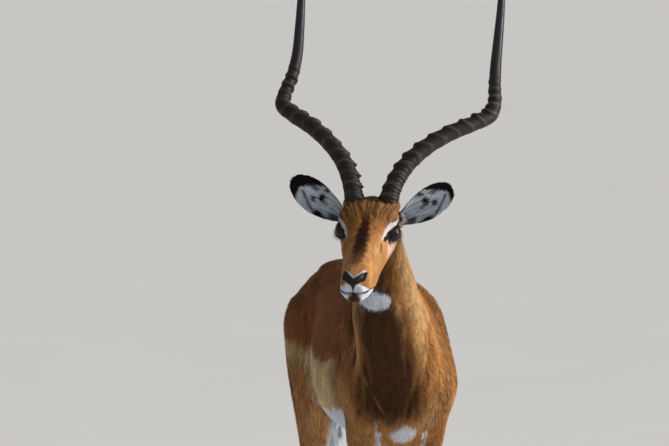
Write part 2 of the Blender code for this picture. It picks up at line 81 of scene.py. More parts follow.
# x, back point (y, z), belly point (y, z), half width, widest place, fullness above, fullness below
BODY = (
    (0.000, 0.718, 0.792, 0.716, 0.742, 0.010, 0.50, 2.0, 2.0),
    (0.000, 0.706, 0.822, 0.700, 0.700, 0.036, 0.55, 2.0, 2.0),
    (0.000, 0.668, 0.864, 0.662, 0.655, 0.072, 0.60, 2.1, 2.0),
    (0.000, 0.612, 0.893, 0.608, 0.632, 0.089, 0.62, 2.3, 2.0),
    (0.000, 0.545, 0.908, 0.545, 0.612, 0.096, 0.64, 2.4, 2.0),
    (0.000, 0.476, 0.907, 0.476, 0.588, 0.099, 0.60, 2.2, 2.0),
    (0.000, 0.400, 0.898, 0.400, 0.560, 0.108, 0.53, 2.0, 2.1),
    (0.000, 0.314, 0.890, 0.314, 0.542, 0.117, 0.47, 1.95, 2.2),
    (0.000, 0.229, 0.887, 0.229, 0.533, 0.120, 0.45, 1.9, 2.2),
    (0.000, 0.143, 0.891, 0.143, 0.529, 0.116, 0.45, 1.8, 2.1),
    (0.000, 0.067, 0.899, 0.067, 0.529, 0.103, 0.46, 1.7, 2.0),
    (0.000, 0.010, 0.906, 0.000, 0.531, 0.092, 0.47, 1.65, 1.9),
    (0.000, -0.028, 0.909, -0.060, 0.540, 0.088, 0.47, 1.7, 1.9),
    (-0.006, -0.056, 0.918, -0.115, 0.568, 0.087, 0.45, 1.60, 1.9),
    (-0.016, -0.085, 0.934, -0.160, 0.615, 0.087, 0.43, 1.50, 2.0),
    (-0.034, -0.115, 0.955, -0.190, 0.675, 0.084, 0.42, 1.35, 2.0),
    (-0.049, -0.148, 0.981, -0.212, 0.742, 0.077, 0.42, 1.35, 2.0),
    (-0.060, -0.182, 1.010, -0.229, 0.810, 0.064, 0.43, 1.50, 2.0),
    (-0.070, -0.215, 1.040, -0.242, 0.872, 0.0510, 0.45, 1.75, 2.0),
    (-0.080, -0.247, 1.066, -0.254, 0.925, 0.0460, 0.48, 2.0, 2.0),
    (-0.088, -0.275, 1.078, -0.268, 0.962, 0.0450, 0.50, 2.0, 2.0),
    (-0.095, -0.300, 1.073, -0.292, 0.990, 0.0410, 0.50, 2.0, 2.0),
)
NECK_START = 15  # the row of BODY where the neck leaves the trunk

# along the head, top and low heights, half width, widest place, fullness above, fullness below
HEAD = (
    (-0.020, -0.052, -0.088, 0.022, 0.55, 2.0, 2.0),
    (0.000, -0.022, -0.118, 0.047, 0.58, 2.1, 2.0),
    (0.028, -0.003, -0.136, 0.0570, 0.62, 2.3, 1.8),
    (0.060, 0.004, -0.145, 0.0610, 0.66, 2.6, 1.6),
    (0.090, 0.005, -0.146, 0.0620, 0.69, 2.7, 1.5),
    (0.112, 0.001, -0.146, 0.0580, 0.68, 2.6, 1.5),
    (0.140, -0.007, -0.141, 0.0500, 0.63, 2.3, 1.6),
    (0.168, -0.014, -0.136, 0.0435, 0.57, 2.2, 1.8),
    (0.200, -0.021, -0.130, 0.0395, 0.52, 2.2, 2.0),
    (0.230, -0.028, -0.123, 0.0365, 0.50, 2.3, 2.1),
    (0.258, -0.036, -0.114, 0.0340, 0.50, 2.4, 2.2),
    (0.277, -0.045, -0.105, 0.0290, 0.49, 2.3, 2.1),
    (0.288, -0.056, -0.094, 0.0190, 0.48, 2.1, 2.1),
)
# height, front and back y, sideways place of the middle, half width
FORELEG = (
    (0.893, 0.010, 0.050, 0.038, 0.014),
    (0.872, -0.012, 0.064, 0.052, 0.024),
    (0.842, -0.042, 0.082, 0.062, 0.034),
    (0.790, -0.088, 0.090, 0.067, 0.040),
    (0.740, -0.128, 0.086, 0.072, 0.045),
    (0.690, -0.150, 0.078, 0.076, 0.0485),
    (0.640, -0.132, 0.066, 0.076, 0.0455),
    (0.590, -0.096, 0.054, 0.072, 0.0405),
    (0.548, -0.064, 0.048, 0.067, 0.037),
    (0.510, -0.050, 0.034, 0.063, 0.0325),
    (0.460, -0.037, 0.022, 0.060, 0.0270),
    (0.410, -0.029, 0.017, 0.058, 0.0230),
    (0.360, -0.0245, 0.0150, 0.0565, 0.0200),
    (0.330, -0.0245, 0.0160, 0.0560, 0.0205),
    (0.303, -0.0260, 0.0165, 0.0560, 0.0220),
    (0.278, -0.0225, 0.0165, 0.0560, 0.0195),
    (0.250, -0.0165, 0.0150, 0.0560, 0.0150),
    (0.185, -0.0150, 0.0145, 0.0555, 0.0138),
    (0.125, -0.0165, 0.0165, 0.0550, 0.0150),
    (0.098, -0.0205, 0.0195, 0.0550, 0.0185),
    (0.078, -0.0245, 0.0130, 0.0550, 0.0168),
    (0.060, -0.0325, 0.0050, 0.0550, 0.0165),
    (0.044, -0.0410, 0.0010, 0.0550, 0.0190),
)
HINDLEG = (
    (0.880, 0.480, 0.575, 0.040, 0.018),
    (0.862, 0.462, 0.615, 0.050, 0.032),
    (0.835, 0.448, 0.655, 0.059, 0.046),
    (0.785, 0.434, 0.700, 0.065, 0.057),
    (0.725, 0.424, 0.716, 0.067, 0.056),
    (0.665, 0.414, 0.712, 0.069, 0.053),
    (0.615, 0.416, 0.694, 0.069, 0.048),
    (0.572, 0.436, 0.674, 0.067, 0.044),
    (0.532, 0.466, 0.662, 0.066, 0.037),
    (0.492, 0.501, 0.656, 0.065, 0.0310),
    (0.452, 0.541, 0.661, 0.065, 0.0255),
    (0.422, 0.573, 0.675, 0.065, 0.0222),
    (0.396, 0.595, 0.693, 0.065, 0.0215),
    (0.375, 0.609, 0.701, 0.065, 0.0222),
    (0.350, 0.617, 0.687, 0.065, 0.0212),
    (0.320, 0.620, 0.667, 0.065, 0.0178),
    (0.270, 0.619, 0.656, 0.065, 0.0152),
    (0.190, 0.611, 0.647, 0.064, 0.0150),
    (0.125, 0.603, 0.641, 0.063, 0.0158),
    (0.098, 0.596, 0.638, 0.063, 0.0188),
    (0.078, 0.588, 0.627, 0.063, 0.0170),
    (0.060, 0.577, 0.617, 0.063, 0.0165),
    (0.044, 0.567, 0.611, 0.063, 0.0190),
)
# y and z down the tail's middle, half width, half depth
TAIL = (
    (0.690, 0.815, 0.016, 0.016),
    (0.718, 0.801, 0.018, 0.017),
    (0.741, 0.758, 0.017, 0.014),
    (0.748, 0.700, 0.018, 0.013),
    (0.747, 0.630, 0.022, 0.015),
    (0.741, 0.560, 0.025, 0.016),
    (0.735, 0.500, 0.019, 0.012),
    (0.731, 0.462, 0.006, 0.005),
)
# out, up and back from the burr, lean of both horns to the ram's left, share of the burr's radius
HORN = (
    (0.000, -0.012, 0.000, 0.000, 1.00),
    (0.001, 0.012, 0.000, 0.000, 0.98),
    (0.007, 0.036, 0.006, 0.000, 0.94),
    (0.027, 0.078, 0.022, 0.001, 0.89),
    (0.063, 0.118, 0.043, 0.002, 0.86),
    (0.107, 0.149, 0.066, 0.004, 0.83),
    (0.153, 0.172, 0.090, 0.006, 0.80),
    (0.182, 0.190, 0.112, 0.009, 0.76),
    (0.184, 0.214, 0.136, 0.012, 0.70),
    (0.177, 0.247, 0.160, 0.015, 0.64),
    (0.173, 0.290, 0.181, 0.017, 0.57),
    (0.173, 0.345, 0.197, 0.018, 0.50),
    (0.174, 0.415, 0.205, 0.019, 0.40),
    (0.173, 0.488, 0.203, 0.020, 0.27),
    (0.170, 0.560, 0.190, 0.021, 0.07),
)
# share of the ear's length, half its flat width, degrees of arc that the width is rolled into
EAR = (
    (0.00, 0.0200, 250),
    (0.12, 0.0270, 235),
    (0.30, 0.0370, 190),
    (0.50, 0.0405, 140),
    (0.70, 0.0360, 105),
    (0.86, 0.0255, 85),
    (0.95, 0.0150, 70),
    (1.00, 0.0040, 60),
)

# ---------------------------------------------------------------- the ram's parts
TRUNK, NECK, SKULL, FORE, HIND, BRUSH, PINNA = range(7)
SIDES = (("left", 1.0), ("right", -1.0))
FLESH_NODES = (
    "trunk", "neck", "head", "lower_jaw", "ear_left", "ear_right", "tail",
    "foreleg_upper_left", "foreleg_upper_right", "foreleg_lower_left", "foreleg_lower_right",
    "hindleg_upper_left", "hindleg_upper_right", "hindleg_lower_left", "hindleg_lower_right",
)
Swell = namedtuple("Swell", "place radii rise")

# Muscle, bone and hollow on the body: middle, radii and rise in metres, each on both sides.
BODY_SWELLS = (
    Swell((0.088, -0.020, 0.790), (0.040, 0.045, 0.085), 0.0060),  # shoulder blade
    Swell((0.082, -0.135, 0.690), (0.040, 0.035, 0.045), 0.0075),  # point of the shoulder
    Swell((0.105, 0.010, 0.675), (0.040, 0.050, 0.055), 0.0060),  # triceps
    Swell((0.114, -0.030, 0.612), (0.030, 0.070, 0.042), -0.0075),  # outside of the forearm
    Swell((0.055, 0.300, 0.560), (0.050, 0.160, 0.030), -0.0070),  # tuck of the belly
    Swell((0.095, 0.085, 0.720), (0.040, 0.022, 0.090), -0.0090),  # hollow behind the shoulder
    Swell((0.085, -0.120, 0.810), (0.045, 0.022, 0.085), -0.0067),  # groove before the shoulder
    Swell((0.000, -0.170, 0.640), (0.012, 0.070, 0.060), -0.0075),  # parting of the breast
    Swell((0.045, -0.160, 0.620), (0.025, 0.050, 0.045), 0.0060),  # breast muscle
    Swell((0.110, 0.220, 0.680), (0.050, 0.120, 0.090), 0.0060),  # barrel of the ribs
    Swell((0.105, 0.410, 0.760), (0.050, 0.045, 0.070), -0.0120),  # hollow of the flank
    Swell((0.082, 0.490, 0.868), (0.022, 0.022, 0.020), 0.0067),  # hip bone
    Swell((0.120, 0.600, 0.760), (0.040, 0.060, 0.080), 0.0075),  # haunch
    Swell((0.110, 0.450, 0.630), (0.040, 0.035, 0.045), 0.0067),  # stifle
    Swell((0.100, 0.560, 0.590), (0.040, 0.022, 0.070), -0.0053),  # groove behind the thigh
    Swell((0.065, 0.615, 0.440), (0.050, 0.014, 0.060), -0.0060),  # hollow before the heel tendon
    Swell((0.000, 0.300, 0.900), (0.020, 0.200, 0.020), 0.0023),  # line of the spine
)
# Furrows between the muscles: the sides it is on (1 for the path as it stands, -1 for its mirror
# image), path on the body, half width and depth in metres.
Furrow = namedtuple("Furrow", "sides path width depth")
FURROWS = (
    # left edge of the neck and breast
    Furrow((1,), (
        (0.006, -0.212, 0.888), (0.034, -0.190, 0.813), (0.041, -0.186, 0.760), (0.032, -0.187, 0.708),
        (0.019, -0.184, 0.676), (0.010, -0.167, 0.639),
    ), 0.0110, 0.0085),
    # right edge of the breast
    Furrow((1,), (
        (-0.097, -0.149, 0.703), (-0.082, -0.145, 0.666), (-0.063, -0.138, 0.638), (-0.041, -0.146, 0.615),
    ), 0.0090, 0.0070),
    # right side of the neck, then either side of the windpipe
    Furrow((1,), ((-0.110, -0.150, 0.850), (-0.104, -0.110, 0.790), (-0.105, -0.110, 0.730)), 0.0100, 0.0065),
    Furrow((1,), ((-0.035, -0.241, 0.866), (-0.020, -0.226, 0.800), (-0.016, -0.212, 0.735)), 0.0080, 0.0035),
    Furrow((1,), ((-0.082, -0.232, 0.860), (-0.085, -0.215, 0.790), (-0.075, -0.205, 0.720)), 0.0080, 0.0035),
    # behind the arm, and before the haunch
    Furrow((1, -1), ((0.108, 0.060, 0.790), (0.112, 0.070, 0.720), (0.100, 0.050, 0.640)), 0.0130, 0.0060),
    Furrow((1, -1), ((0.105, 0.470, 0.820), (0.113, 0.452, 0.750), (0.105, 0.430, 0.668)), 0.0130, 0.0060),
)
# The same on the head: along it, height, out from the middle.
HEAD_SWELLS = (
    Swell((0.082, -0.014, 0.050), (0.026, 0.014, 0.016), 0.0058),  # brow
    Swell((0.098, -0.004, 0.018), (0.030, 0.020, 0.012), 0.0012),  # forehead boss
    Swell((0.050, -0.045, 0.062), (0.016, 0.018, 0.020), -0.0030),  # temple
    Swell((0.126, -0.040, 0.052), (0.018, 0.016, 0.016), -0.0055),  # before the eye
    Swell((0.150, -0.060, 0.050), (0.030, 0.010, 0.020), 0.0018),  # cheek bone
    Swell((0.100, -0.082, 0.060), (0.035, 0.014, 0.020), 0.0030),
    Swell((0.070, -0.110, 0.050), (0.032, 0.030, 0.025), 0.0045),  # jaw muscle
    Swell((0.165, -0.095, 0.045), (0.030, 0.020, 0.020), -0.0030),  # hollow of the cheek
    Swell((0.215, -0.030, 0.022), (0.040, 0.010, 0.010), -0.0012),  # side of the nose bridge
    Swell((0.268, -0.052, 0.0245), (0.012, 0.010, 0.008), 0.0030),  # wing of the nostril
    Swell((0.262, -0.084, 0.026), (0.020, 0.010, 0.014), 0.0026),  # upper lip
    Swell((0.288, -0.078, 0.009), (0.010, 0.009, 0.008), 0.0022),
    Swell((0.292, -0.074, 0.000), (0.012, 0.014, 0.0022), -0.0030),  # groove of the lip
    Swell((0.262, -0.110, 0.000), (0.018, 0.012, 0.016), -0.0012),  # chin
    Swell((0.268, -0.098, 0.025), (0.024, 0.014, 0.012), -0.0058),  # side of the chin
    Swell((0.262, -0.070, 0.036), (0.026, 0.020, 0.014), -0.0024),  # side of the muzzle
    Swell((0.150, -0.150, 0.000), (0.060, 0.025, 0.020), -0.0020),  # between the jaws
)
# Paths on the head: the mouth as (along, height), the others on its left side.
MOUTH = ((0.292, -0.0740), (0.262, -0.0800), (0.235, -0.0930), (0.205, -0.1090), (0.188, -0.1160))
NOSTRIL = ((0.2740, -0.0520, 0.0120), (0.2650, -0.0480, 0.0190), (0.2535, -0.0425, 0.0230))
BROW = (
    (0.150, -0.0275, 0.0350), (0.130, -0.0215, 0.0400), (0.115, -0.0175, 0.0460),
    (0.101, -0.0175, 0.0555), (0.084, -0.0130, 0.0605),
)
TEAR = ((0.146, -0.0305, 0.0395), (0.128, -0.0335, 0.0480), (0.112, -0.0370, 0.0540))
SLIT = ((0.160, -0.0325, 0.0350), (0.1735, -0.0440, 0.0355))  # the dark fold below the eye's inner corner
# path of a painted shadow: black behind the eye, where the ear's root shades the head
EAR_ROOT_SHADOW_PATH = ((0.088, -0.032, 0.064), (0.060, -0.036, 0.064), (0.030, -0.044, 0.057))
# path of a painted shadow: brown along the lower edge of the cheek bone
CHEEK_SHADOW_PATH = ((0.155, -0.075, 0.044), (0.205, -0.075, 0.034), (0.245, -0.070, 0.030))
# the bare nose: out from its middle, and how far down the front its upper and lower edges lie there
PAD_OUT = (0.000, 0.006, 0.010, 0.014, 0.0175, 0.0200, 0.0220, 0.0236, 0.0244)
PAD_TOP = (0.0060, 0.0006, -0.0026, -0.0062, -0.0090, -0.0104, -0.0098, -0.0064, 0.0020)
PAD_LOW = (0.0190, 0.0184, 0.0166, 0.0138, 0.0126, 0.0114, 0.0092, 0.0058, 0.0000)
# dark patches inside the ear: (share of its length, place across it), radii, depth
EAR_SPOTS = (
    ((0.36, -0.74), (0.15, 0.34), 1.0),
    ((0.42, 0.20), (0.065, 0.30), 1.0),
    ((0.53, -0.10), (0.06, 0.20), 0.95),
    ((0.44, 0.66), (0.045, 0.20), 0.95),
    ((0.15, -0.50), (0.08, 0.36), 0.85),
    ((0.60, 0.42), (0.09, 0.20), 0.75),
    ((0.33, 0.05), (0.05, 0.12), 0.8),
)
THROAT = (-0.084, -0.235, 0.8720)  # middle of the white patch where the throat meets the jaw
MUZZLE_BEND = -0.0065  # sideways set of the nose against the middle of the skull
TINY = 1e-9  # keeps a length that is divided by off zero
FAR = 9.0  # further than anything on the ram


# ---------------------------------------------------------------- curves and outlines
def unit(v):
    """Vectors divided by their lengths."""
    return v / np.maximum(np.linalg.norm(v, axis=-1, keepdims=True), TINY)


def ramp(value, low, high):
    """0 at low, 1 at high, and 3t² - 2t³ between them."""
    t = np.clip((value - low) / (high - low), 0.0, 1.0)
    return t * t * (3.0 - 2.0 * t)


def bell(points, place, radii):
    """exp of minus the squared distance from the place, each axis measured in its radius."""
    return np.exp(-(((points - np.array(place)) / np.array(radii)) ** 2).sum(axis=-1))


def through(knots, values, wanted):
    """A cubic between neighbouring knots, whose slope at a knot is that of the parabola through three."""
    knots = np.asarray(knots, float)
    values = np.asarray(values, float).reshape(len(knots), -1)
    wanted = np.asarray(wanted, float)
    step = np.diff(knots)[:, None]
    slope = np.diff(values, axis=0) / step
    inner = (slope[:-1] * step[1:] + slope[1:] * step[:-1]) / (step[1:] + step[:-1])
    tangent = np.vstack([slope[:1], inner, slope[-1:]])
    i = np.clip(np.searchsorted(knots, wanted, side="right") - 1, 0, len(knots) - 2)
    width = step[i]
    t = (wanted[:, None] - knots[i][:, None]) / width
    return (
        (2 * t**3 - 3 * t**2 + 1) * values[i]
        + (t**3 - 2 * t**2 + t) * width * tangent[i]
        + (3 * t**2 - 2 * t**3) * values[i + 1]
        + (t**3 - t**2) * width * tangent[i + 1]
    )


def outlines(centre, side, up, half, above, below, peak, keel, around, inset):
    """Closed outlines: |x/half|^p + |z/height|^p = 1, with one height and power above and one below."""
    angle = 2 * math.pi * (np.arange(around) + 0.5) / around
    cos, sin = np.cos(angle)[None, :], np.sin(angle)[None, :]
    upper = sin >= 0
    power = 2 / np.where(upper, peak[:, None], keel[:, None])
    inset = np.broadcast_to(inset, half.shape)[:, None]
    out = (half[:, None] - inset) * np.sign(cos) * np.abs(cos) ** power
    rise = (np.where(upper, above[:, None], below[:, None]) - inset) * np.sign(sin) * np.abs(sin) ** power
    return centre[:, None, :] + out[..., None] * side[:, None, :] + rise[..., None] * up[:, None, :]


def body_rings(rings, around, inset):
    """Outlines from the rump to the nape, each between a point on the back and one on the belly."""
    row = through(np.arange(len(BODY)), BODY, np.linspace(0, len(BODY) - 1, rings))
    top, low = row[:, [0, 1, 2]], row[:, [0, 3, 4]]
    half, widest, peak, keel = row[:, 5:].T
    height = np.linalg.norm(top - low, axis=1)
    up = (top - low) / height[:, None]
    centre = low + widest[:, None] * (top - low)
    side = unit(np.cross(np.gradient(centre, axis=0), up))
    return outlines(centre, side, up, half, height * (1 - widest), height * widest, peak, keel, around, inset)


def head_axes():
    """Towards the nose, up from the forehead, to the ram's left, and the level way the face looks."""
    level = np.array((-math.sin(HEAD_YAW), -math.cos(HEAD_YAW), 0.0))
    rise = np.array((0.0, 0.0, 1.0))
    forward = math.cos(HEAD_PITCH) * level - math.sin(HEAD_PITCH) * rise
    up = math.sin(HEAD_PITCH) * level + math.cos(HEAD_PITCH) * rise
    cos, sin = math.cos(-HEAD_ROLL), math.sin(-HEAD_ROLL)
    tilt = [v * cos + np.cross(level, v) * sin + level * (v @ level) * (1 - cos) for v in (forward, up)]
    return tilt[0], tilt[1], np.cross(tilt[1], tilt[0]), level


FORWARD, UP, LEFT, LEVEL = head_axes()


def on_head(places):
    """Body-frame points from (along, height, out) on the head."""
    places = np.asarray(places, float)
    return HEAD_ORIGIN + places[..., 0:1] * FORWARD + places[..., 1:2] * UP + places[..., 2:3] * LEFT


def in_head(points):
    """(along, height, out) on the head of body-frame points."""
    return (points - HEAD_ORIGIN) @ np.column_stack([FORWARD, UP, LEFT])


def head_rings(rings, around, inset):
    """Outlines across the head from the nape to the nose."""
    table = np.array(HEAD)
    along = np.interp(np.linspace(0, len(table) - 1, rings), np.arange(len(table)), table[:, 0])
    top, low, half, widest, peak, keel = through(table[:, 0], table[:, 1:], along).T
    reach = np.clip(along, table[0, 0] + inset, table[-1, 0] - inset)
    height = top - low
    centre = on_head(np.column_stack([reach, low + widest * height, 0 * along]))
    side, up = np.tile(LEFT, (rings, 1)), np.tile(UP, (rings, 1))
    return outlines(centre, side, up, half, height * (1 - widest), height * widest, peak, keel, around, inset)


def leg_row(levels, z):
    """Front, back, sideways place and half width of a leg at each height."""
    table = np.array(levels)[::-1]
    return through(table[:, 0], table[:, 1:], z).T


def leg_rings(levels, sign, rings, around, inset):
    """Level outlines of one leg from its top down to the coronet; the inset shrinks towards the foot."""
    table = np.array(levels)
    z = np.interp(np.linspace(0, len(table) - 1, rings), np.arange(len(table)), table[:, 0])
    front, back, side, half = leg_row(levels, z)
    middle = front + 0.45 * (back - front)
    centre = np.column_stack([sign * side, middle, z])
    across, ahead = np.tile([1.0, 0, 0], (rings, 1)), np.tile([0, -1.0, 0], (rings, 1))
    full = np.full(rings, 2.1)
    depth = inset * (0.35 + 0.65 * ramp(z, 0.30, 0.60))
    return outlines(centre, across, ahead, half, middle - front, back - middle, full, full, around, depth)


def tail_rings(rings, around, inset):
    """Outlines down the tail, square to its middle line."""
    row = through(np.arange(len(TAIL)), TAIL, np.linspace(0, len(TAIL) - 1, rings))
    centre = np.column_stack([np.zeros(rings), row[:, 0], row[:, 1]])
    way = unit(np.gradient(centre, axis=0))
    across = np.tile([1.0, 0, 0], (rings, 1))
    full = np.full(rings, 2.0)
    half, rise = row[:, 2], row[:, 3]
    depth = np.minimum(inset, rise * 0.5)
    return outlines(centre, across, np.cross(across, way), half, rise, rise, full, full, around, depth)


def ear_axes(sign):
    """Out along the ear, the way its hollow faces, and across it."""
    flat = math.cos(EAR_FORWARD) * sign * LEFT + math.sin(EAR_FORWARD) * LEVEL
    out = math.cos(EAR_LIFT) * flat + math.sin(EAR_LIFT) * np.array((0, 0, 1.0))
    facing = unit(LEVEL - (LEVEL @ out) * out)
    return out, facing, np.cross(out, facing)


def ear_rings(sign, rings, columns, thickness):
    """A leaf rolled into a gutter, its middle line curling up by a power of its length: each outline
    runs out along the back of the leaf and home inside it."""
    out, facing, across = ear_axes(sign)
    root = on_head((EAR_ROOT[0], EAR_ROOT[1], sign * EAR_ROOT[2]))
    table = np.array(EAR)
    share = np.linspace(0, 0.985, rings)
    half, arc = through(table[:, 0], table[:, 1:], share).T
    arc = np.radians(arc)
    turn = np.linspace(-0.5, 0.5, columns)[None, :] * arc[:, None]
    radius = (2 * half / arc)[:, None]
    edge = 1 - 0.45 * (2 * np.abs(np.linspace(-0.5, 0.5, columns)))[None, :] ** 6
    centre = root + (share * EAR_LENGTH)[:, None] * out
    centre = centre - sign * (EAR_BEND * share**EAR_CURL)[:, None] * across
    sheets = []
    for shift in (0.5, -0.5):
        r = radius + shift * thickness * edge
        sheet = (
            centre[:, None, :]
            + (r * np.sin(turn))[..., None] * across
            - (r * np.cos(turn) - 0.4 * radius)[..., None] * facing
        )
        sheets.append(sheet if shift > 0 else sheet[:, ::-1])
    return np.concatenate(sheets, axis=1)


def tube(rings):
    """Corners, four-sided faces and end triangles of a closed tube through the rings."""
    rows, around = rings.shape[:2]
    i, j = np.arange(rows - 1)[:, None] * around, np.arange(around)[None, :]
    k = (j + 1) % around
    quads = np.stack([i + j, i + k, i + around + k, i + around + j], axis=-1).reshape(-1, 4)
    first, last = rows * around, rows * around + 1
    ring = np.arange(around)
    following = (ring + 1) % around
    end = (rows - 1) * around
    caps = np.vstack([
        np.column_stack([np.full(around, first), following, ring]),
        np.column_stack([np.full(around, last), end + ring, end + following]),
    ])
    points = np.vstack([rings.reshape(-1, 3), rings[0].mean(axis=0), rings[-1].mean(axis=0)])
    return points, quads, caps


def with_ends(values):
    """A tube's values, one for each corner of its outlines, then one for each of its two end points."""
    return np.concatenate([values.ravel(), values[0, :1], values[-1, :1]])


def ball(place, radii, rings=14, around=20):
    """An ellipsoid as a tube whose radius follows the sine of the angle from its pole."""
    t = np.linspace(0.02, math.pi - 0.02, rings)[:, None]
    a = np.linspace(0, 2 * math.pi, around, endpoint=False)[None, :]
    shape = np.stack([np.sin(t) * np.cos(a), np.sin(t) * np.sin(a), np.cos(t) * np.ones_like(a)], axis=-1)
    return np.asarray(place) + shape * np.asarray(radii)


# ---------------------------------------------------------------- meshes
def join(parts):
    """One set of corners and faces from several (corners, faces, faces ...) sets."""
    start, points, groups = 0, [], {}
    for part in parts:
        points.append(part[0])
        for faces in part[1:]:
            groups.setdefault(faces.shape[1], []).append(faces + start)
        start += len(part[0])
    return (np.vstack(points), *[np.vstack(g) for g in groups.values()])


def outward(points, *groups):
    """The faces turned so that the volume they enclose comes out positive."""
    volume = 0.0
    for faces in groups:
        for k in range(1, faces.shape[1] - 1):
            a, b, c = points[faces[:, 0]], points[faces[:, k]], points[faces[:, k + 1]]
            volume += (a * np.cross(b, c)).sum()
    return groups if volume > 0 else tuple(faces[:, ::-1] for faces in groups)


def fill(mesh, points, *groups):
    """Puts corners and faces into the mesh, each group holding faces of one size."""
    loops = np.concatenate([faces.ravel() for faces in groups]).astype(np.int32)
    sizes = np.concatenate([np.full(len(faces), faces.shape[1]) for faces in groups])
    mesh.vertices.add(len(points))
    mesh.vertices.foreach_set("co", np.asarray(points, np.float32).ravel())
    mesh.loops.add(len(loops))
    mesh.loops.foreach_set("vertex_index", loops)
    mesh.polygons.add(len(sizes))
    mesh.polygons.foreach_set("loop_start", np.concatenate([[0], np.cumsum(sizes)[:-1]]).astype(np.int32))
    mesh.update(calc_edges=True)
    return mesh


def put(name, data):
    """A new object in the scene that shows this data."""
    obj = bpy.data.objects.new(name, data)
    bpy.context.scene.collection.objects.link(obj)
    return obj


def make_piece(name, points, groups, look, values=None):
    """A finished piece at its place on the CAD, riding on the root body, with its named values."""
    mesh = fill(bpy.data.meshes.new(name), points + FOOTPRINT, *groups)
    mesh.shade_smooth()
    for key, array in (values or {}).items():
        layer = mesh.attributes.new(key, "FLOAT", "POINT")
        layer.data.foreach_set("value", np.asarray(array, np.float32))
    mesh.materials.append(look)
    obj = put(name, mesh)
    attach(obj, "root")
    return obj


def corner_normals(points, quads):
    """The mean of the normals of the faces round each corner, from the cross of their diagonals."""
    flat = np.cross(points[quads[:, 2]] - points[quads[:, 0]], points[quads[:, 3]] - points[quads[:, 1]])
    total = np.zeros_like(points)
    for axis in range(3):
        total[:, axis] = np.bincount(quads.ravel(), np.repeat(flat[:, axis], 4), len(points))
    return unit(total)


def neighbours(quads):
    """Each pair of corners that share an edge, once."""
    edges = np.sort(np.vstack([quads[:, [k, (k + 1) % 4]] for k in range(4)]), axis=1)
    return np.unique(edges, axis=0)


def relax(values, edges, passes, amount=0.5, swell_back=False):
    """Moves each corner's values towards its neighbours' mean; swell_back follows with a step away."""
    count = np.bincount(edges.ravel(), minlength=len(values))[:, None]
    steps = (1.0, -1.04) if swell_back else (1.0,)
    for _ in range(passes):
        for step in steps:
            total = np.empty_like(values)
            for axis in range(values.shape[1]):
                total[:, axis] = np.bincount(edges[:, 0], values[edges[:, 1], axis], len(values))
                total[:, axis] += np.bincount(edges[:, 1], values[edges[:, 0], axis], len(values))
            values = values + step * amount * (total / count - values)
    return values


def nearest(points, sources):
    """For each point the source that makes p·s - |s|²/2 greatest, which is the closest one."""
    best = np.empty(len(points), np.int64)
    sources = sources.astype(np.float32)
    half = 0.5 * (sources**2).sum(axis=1)
    for start in range(0, len(points), 8192):
        block = points[start : start + 8192].astype(np.float32)
        best[start : start + 8192] = np.argmax(block @ sources.T - half, axis=1)
    return best


# ---------------------------------------------------------------- the skin
Patch = namedtuple("Patch", "part rings flow")  # a form's outlines and the lie of its hair


def patches(inset):
    """Every form of flesh as outlines, with the way its hair lies: down the neck and legs, back along
    the trunk, from the nose to the nape, and out along the ears and tail."""
    rows = 150
    body = body_rings(rows, 72, inset)
    along = unit(np.gradient(body, axis=0))
    share = np.linspace(0, len(BODY) - 1, len(body))[:, None, None]
    droop = 0.55 * (1 - ramp(share, NECK_START - 3, NECK_START + 1)) + 0.15
    lie = unit(-along - droop * np.array((0, 0, 1.0)))
    cut = int(round(rows * NECK_START / (len(BODY) - 1)))
    found = [Patch(TRUNK, body[:cut], lie[:cut]), Patch(NECK, body[cut:], lie[cut:])]
    head = head_rings(70, 64, inset * 0.40)
    found.append(Patch(SKULL, head, np.broadcast_to(-FORWARD - 0.25 * UP, head.shape)))
    for _, sign in SIDES:
        for part, levels in ((FORE, FORELEG), (HIND, HINDLEG)):
            leg = leg_rings(levels, sign, 100, 36, inset)
            found.append(Patch(part, leg, unit(np.gradient(leg, axis=0))))
        ear = ear_rings(sign, 32, 20, 0.0052)
        found.append(Patch(PINNA, ear, np.broadcast_to(ear_axes(sign)[0], ear.shape)))
    tail = tail_rings(40, 24, inset * 0.6)
    found.append(Patch(BRUSH, tail, unit(np.gradient(tail, axis=0))))
    return found


class Lens:
    """Enlarges what lies near a middle point, so that an even mesh gives it more detail.

    The distance r from the middle becomes the sum of a slope, which is power near it and slack beyond,
    until that sum has fallen back to r itself.
    """

    def __init__(self, middle, power, slack, near, far):
        self.middle = np.array(middle)
        self.r = np.linspace(0, 4, 4001)
        slope = power + (slack - power) * ramp(self.r, near, far)
        total = np.concatenate([[0], np.cumsum(0.5 * (slope[1:] + slope[:-1]) * np.diff(self.r))])
        self.grown = np.maximum(total, self.r)

    def enlarge(self, points, table=None):
        """Points moved out along their lines from the middle, r becoming its place in the table."""
        source, target = table or (self.r, self.grown)
        away = points - self.middle
        r = np.linalg.norm(away, axis=1, keepdims=True)
        return self.middle + away / np.maximum(r, TINY) * np.interp(r, source, target)

    def shrink(self, points):
        """The points back where they were before they were enlarged."""
        return self.enlarge(points, (self.grown, self.r))


def remeshed(points, groups, voxel):
    """Corners and four-sided faces of one even mesh round all the closed forms."""
    source = put("forms", fill(bpy.data.meshes.new("forms"), points, *groups))
    step = source.modifiers.new("even", "REMESH")
    step.mode = "VOXEL"
    step.voxel_size = voxel
    evaluated = source.evaluated_get(bpy.context.evaluated_depsgraph_get())
    mesh = bpy.data.meshes.new_from_object(evaluated)
    co = np.empty(len(mesh.vertices) * 3, np.float32)
    mesh.vertices.foreach_get("co", co)
    corners = np.empty(len(mesh.loops), np.int32)
    mesh.loops.foreach_get("vertex_index", corners)
    if len(corners) != 4 * len(mesh.polygons):
        raise RuntimeError("the even mesh has faces that aren't four-sided")
    bpy.data.objects.remove(source)
    return co.reshape(-1, 3).astype(float), corners.reshape(-1, 4).astype(np.int64)


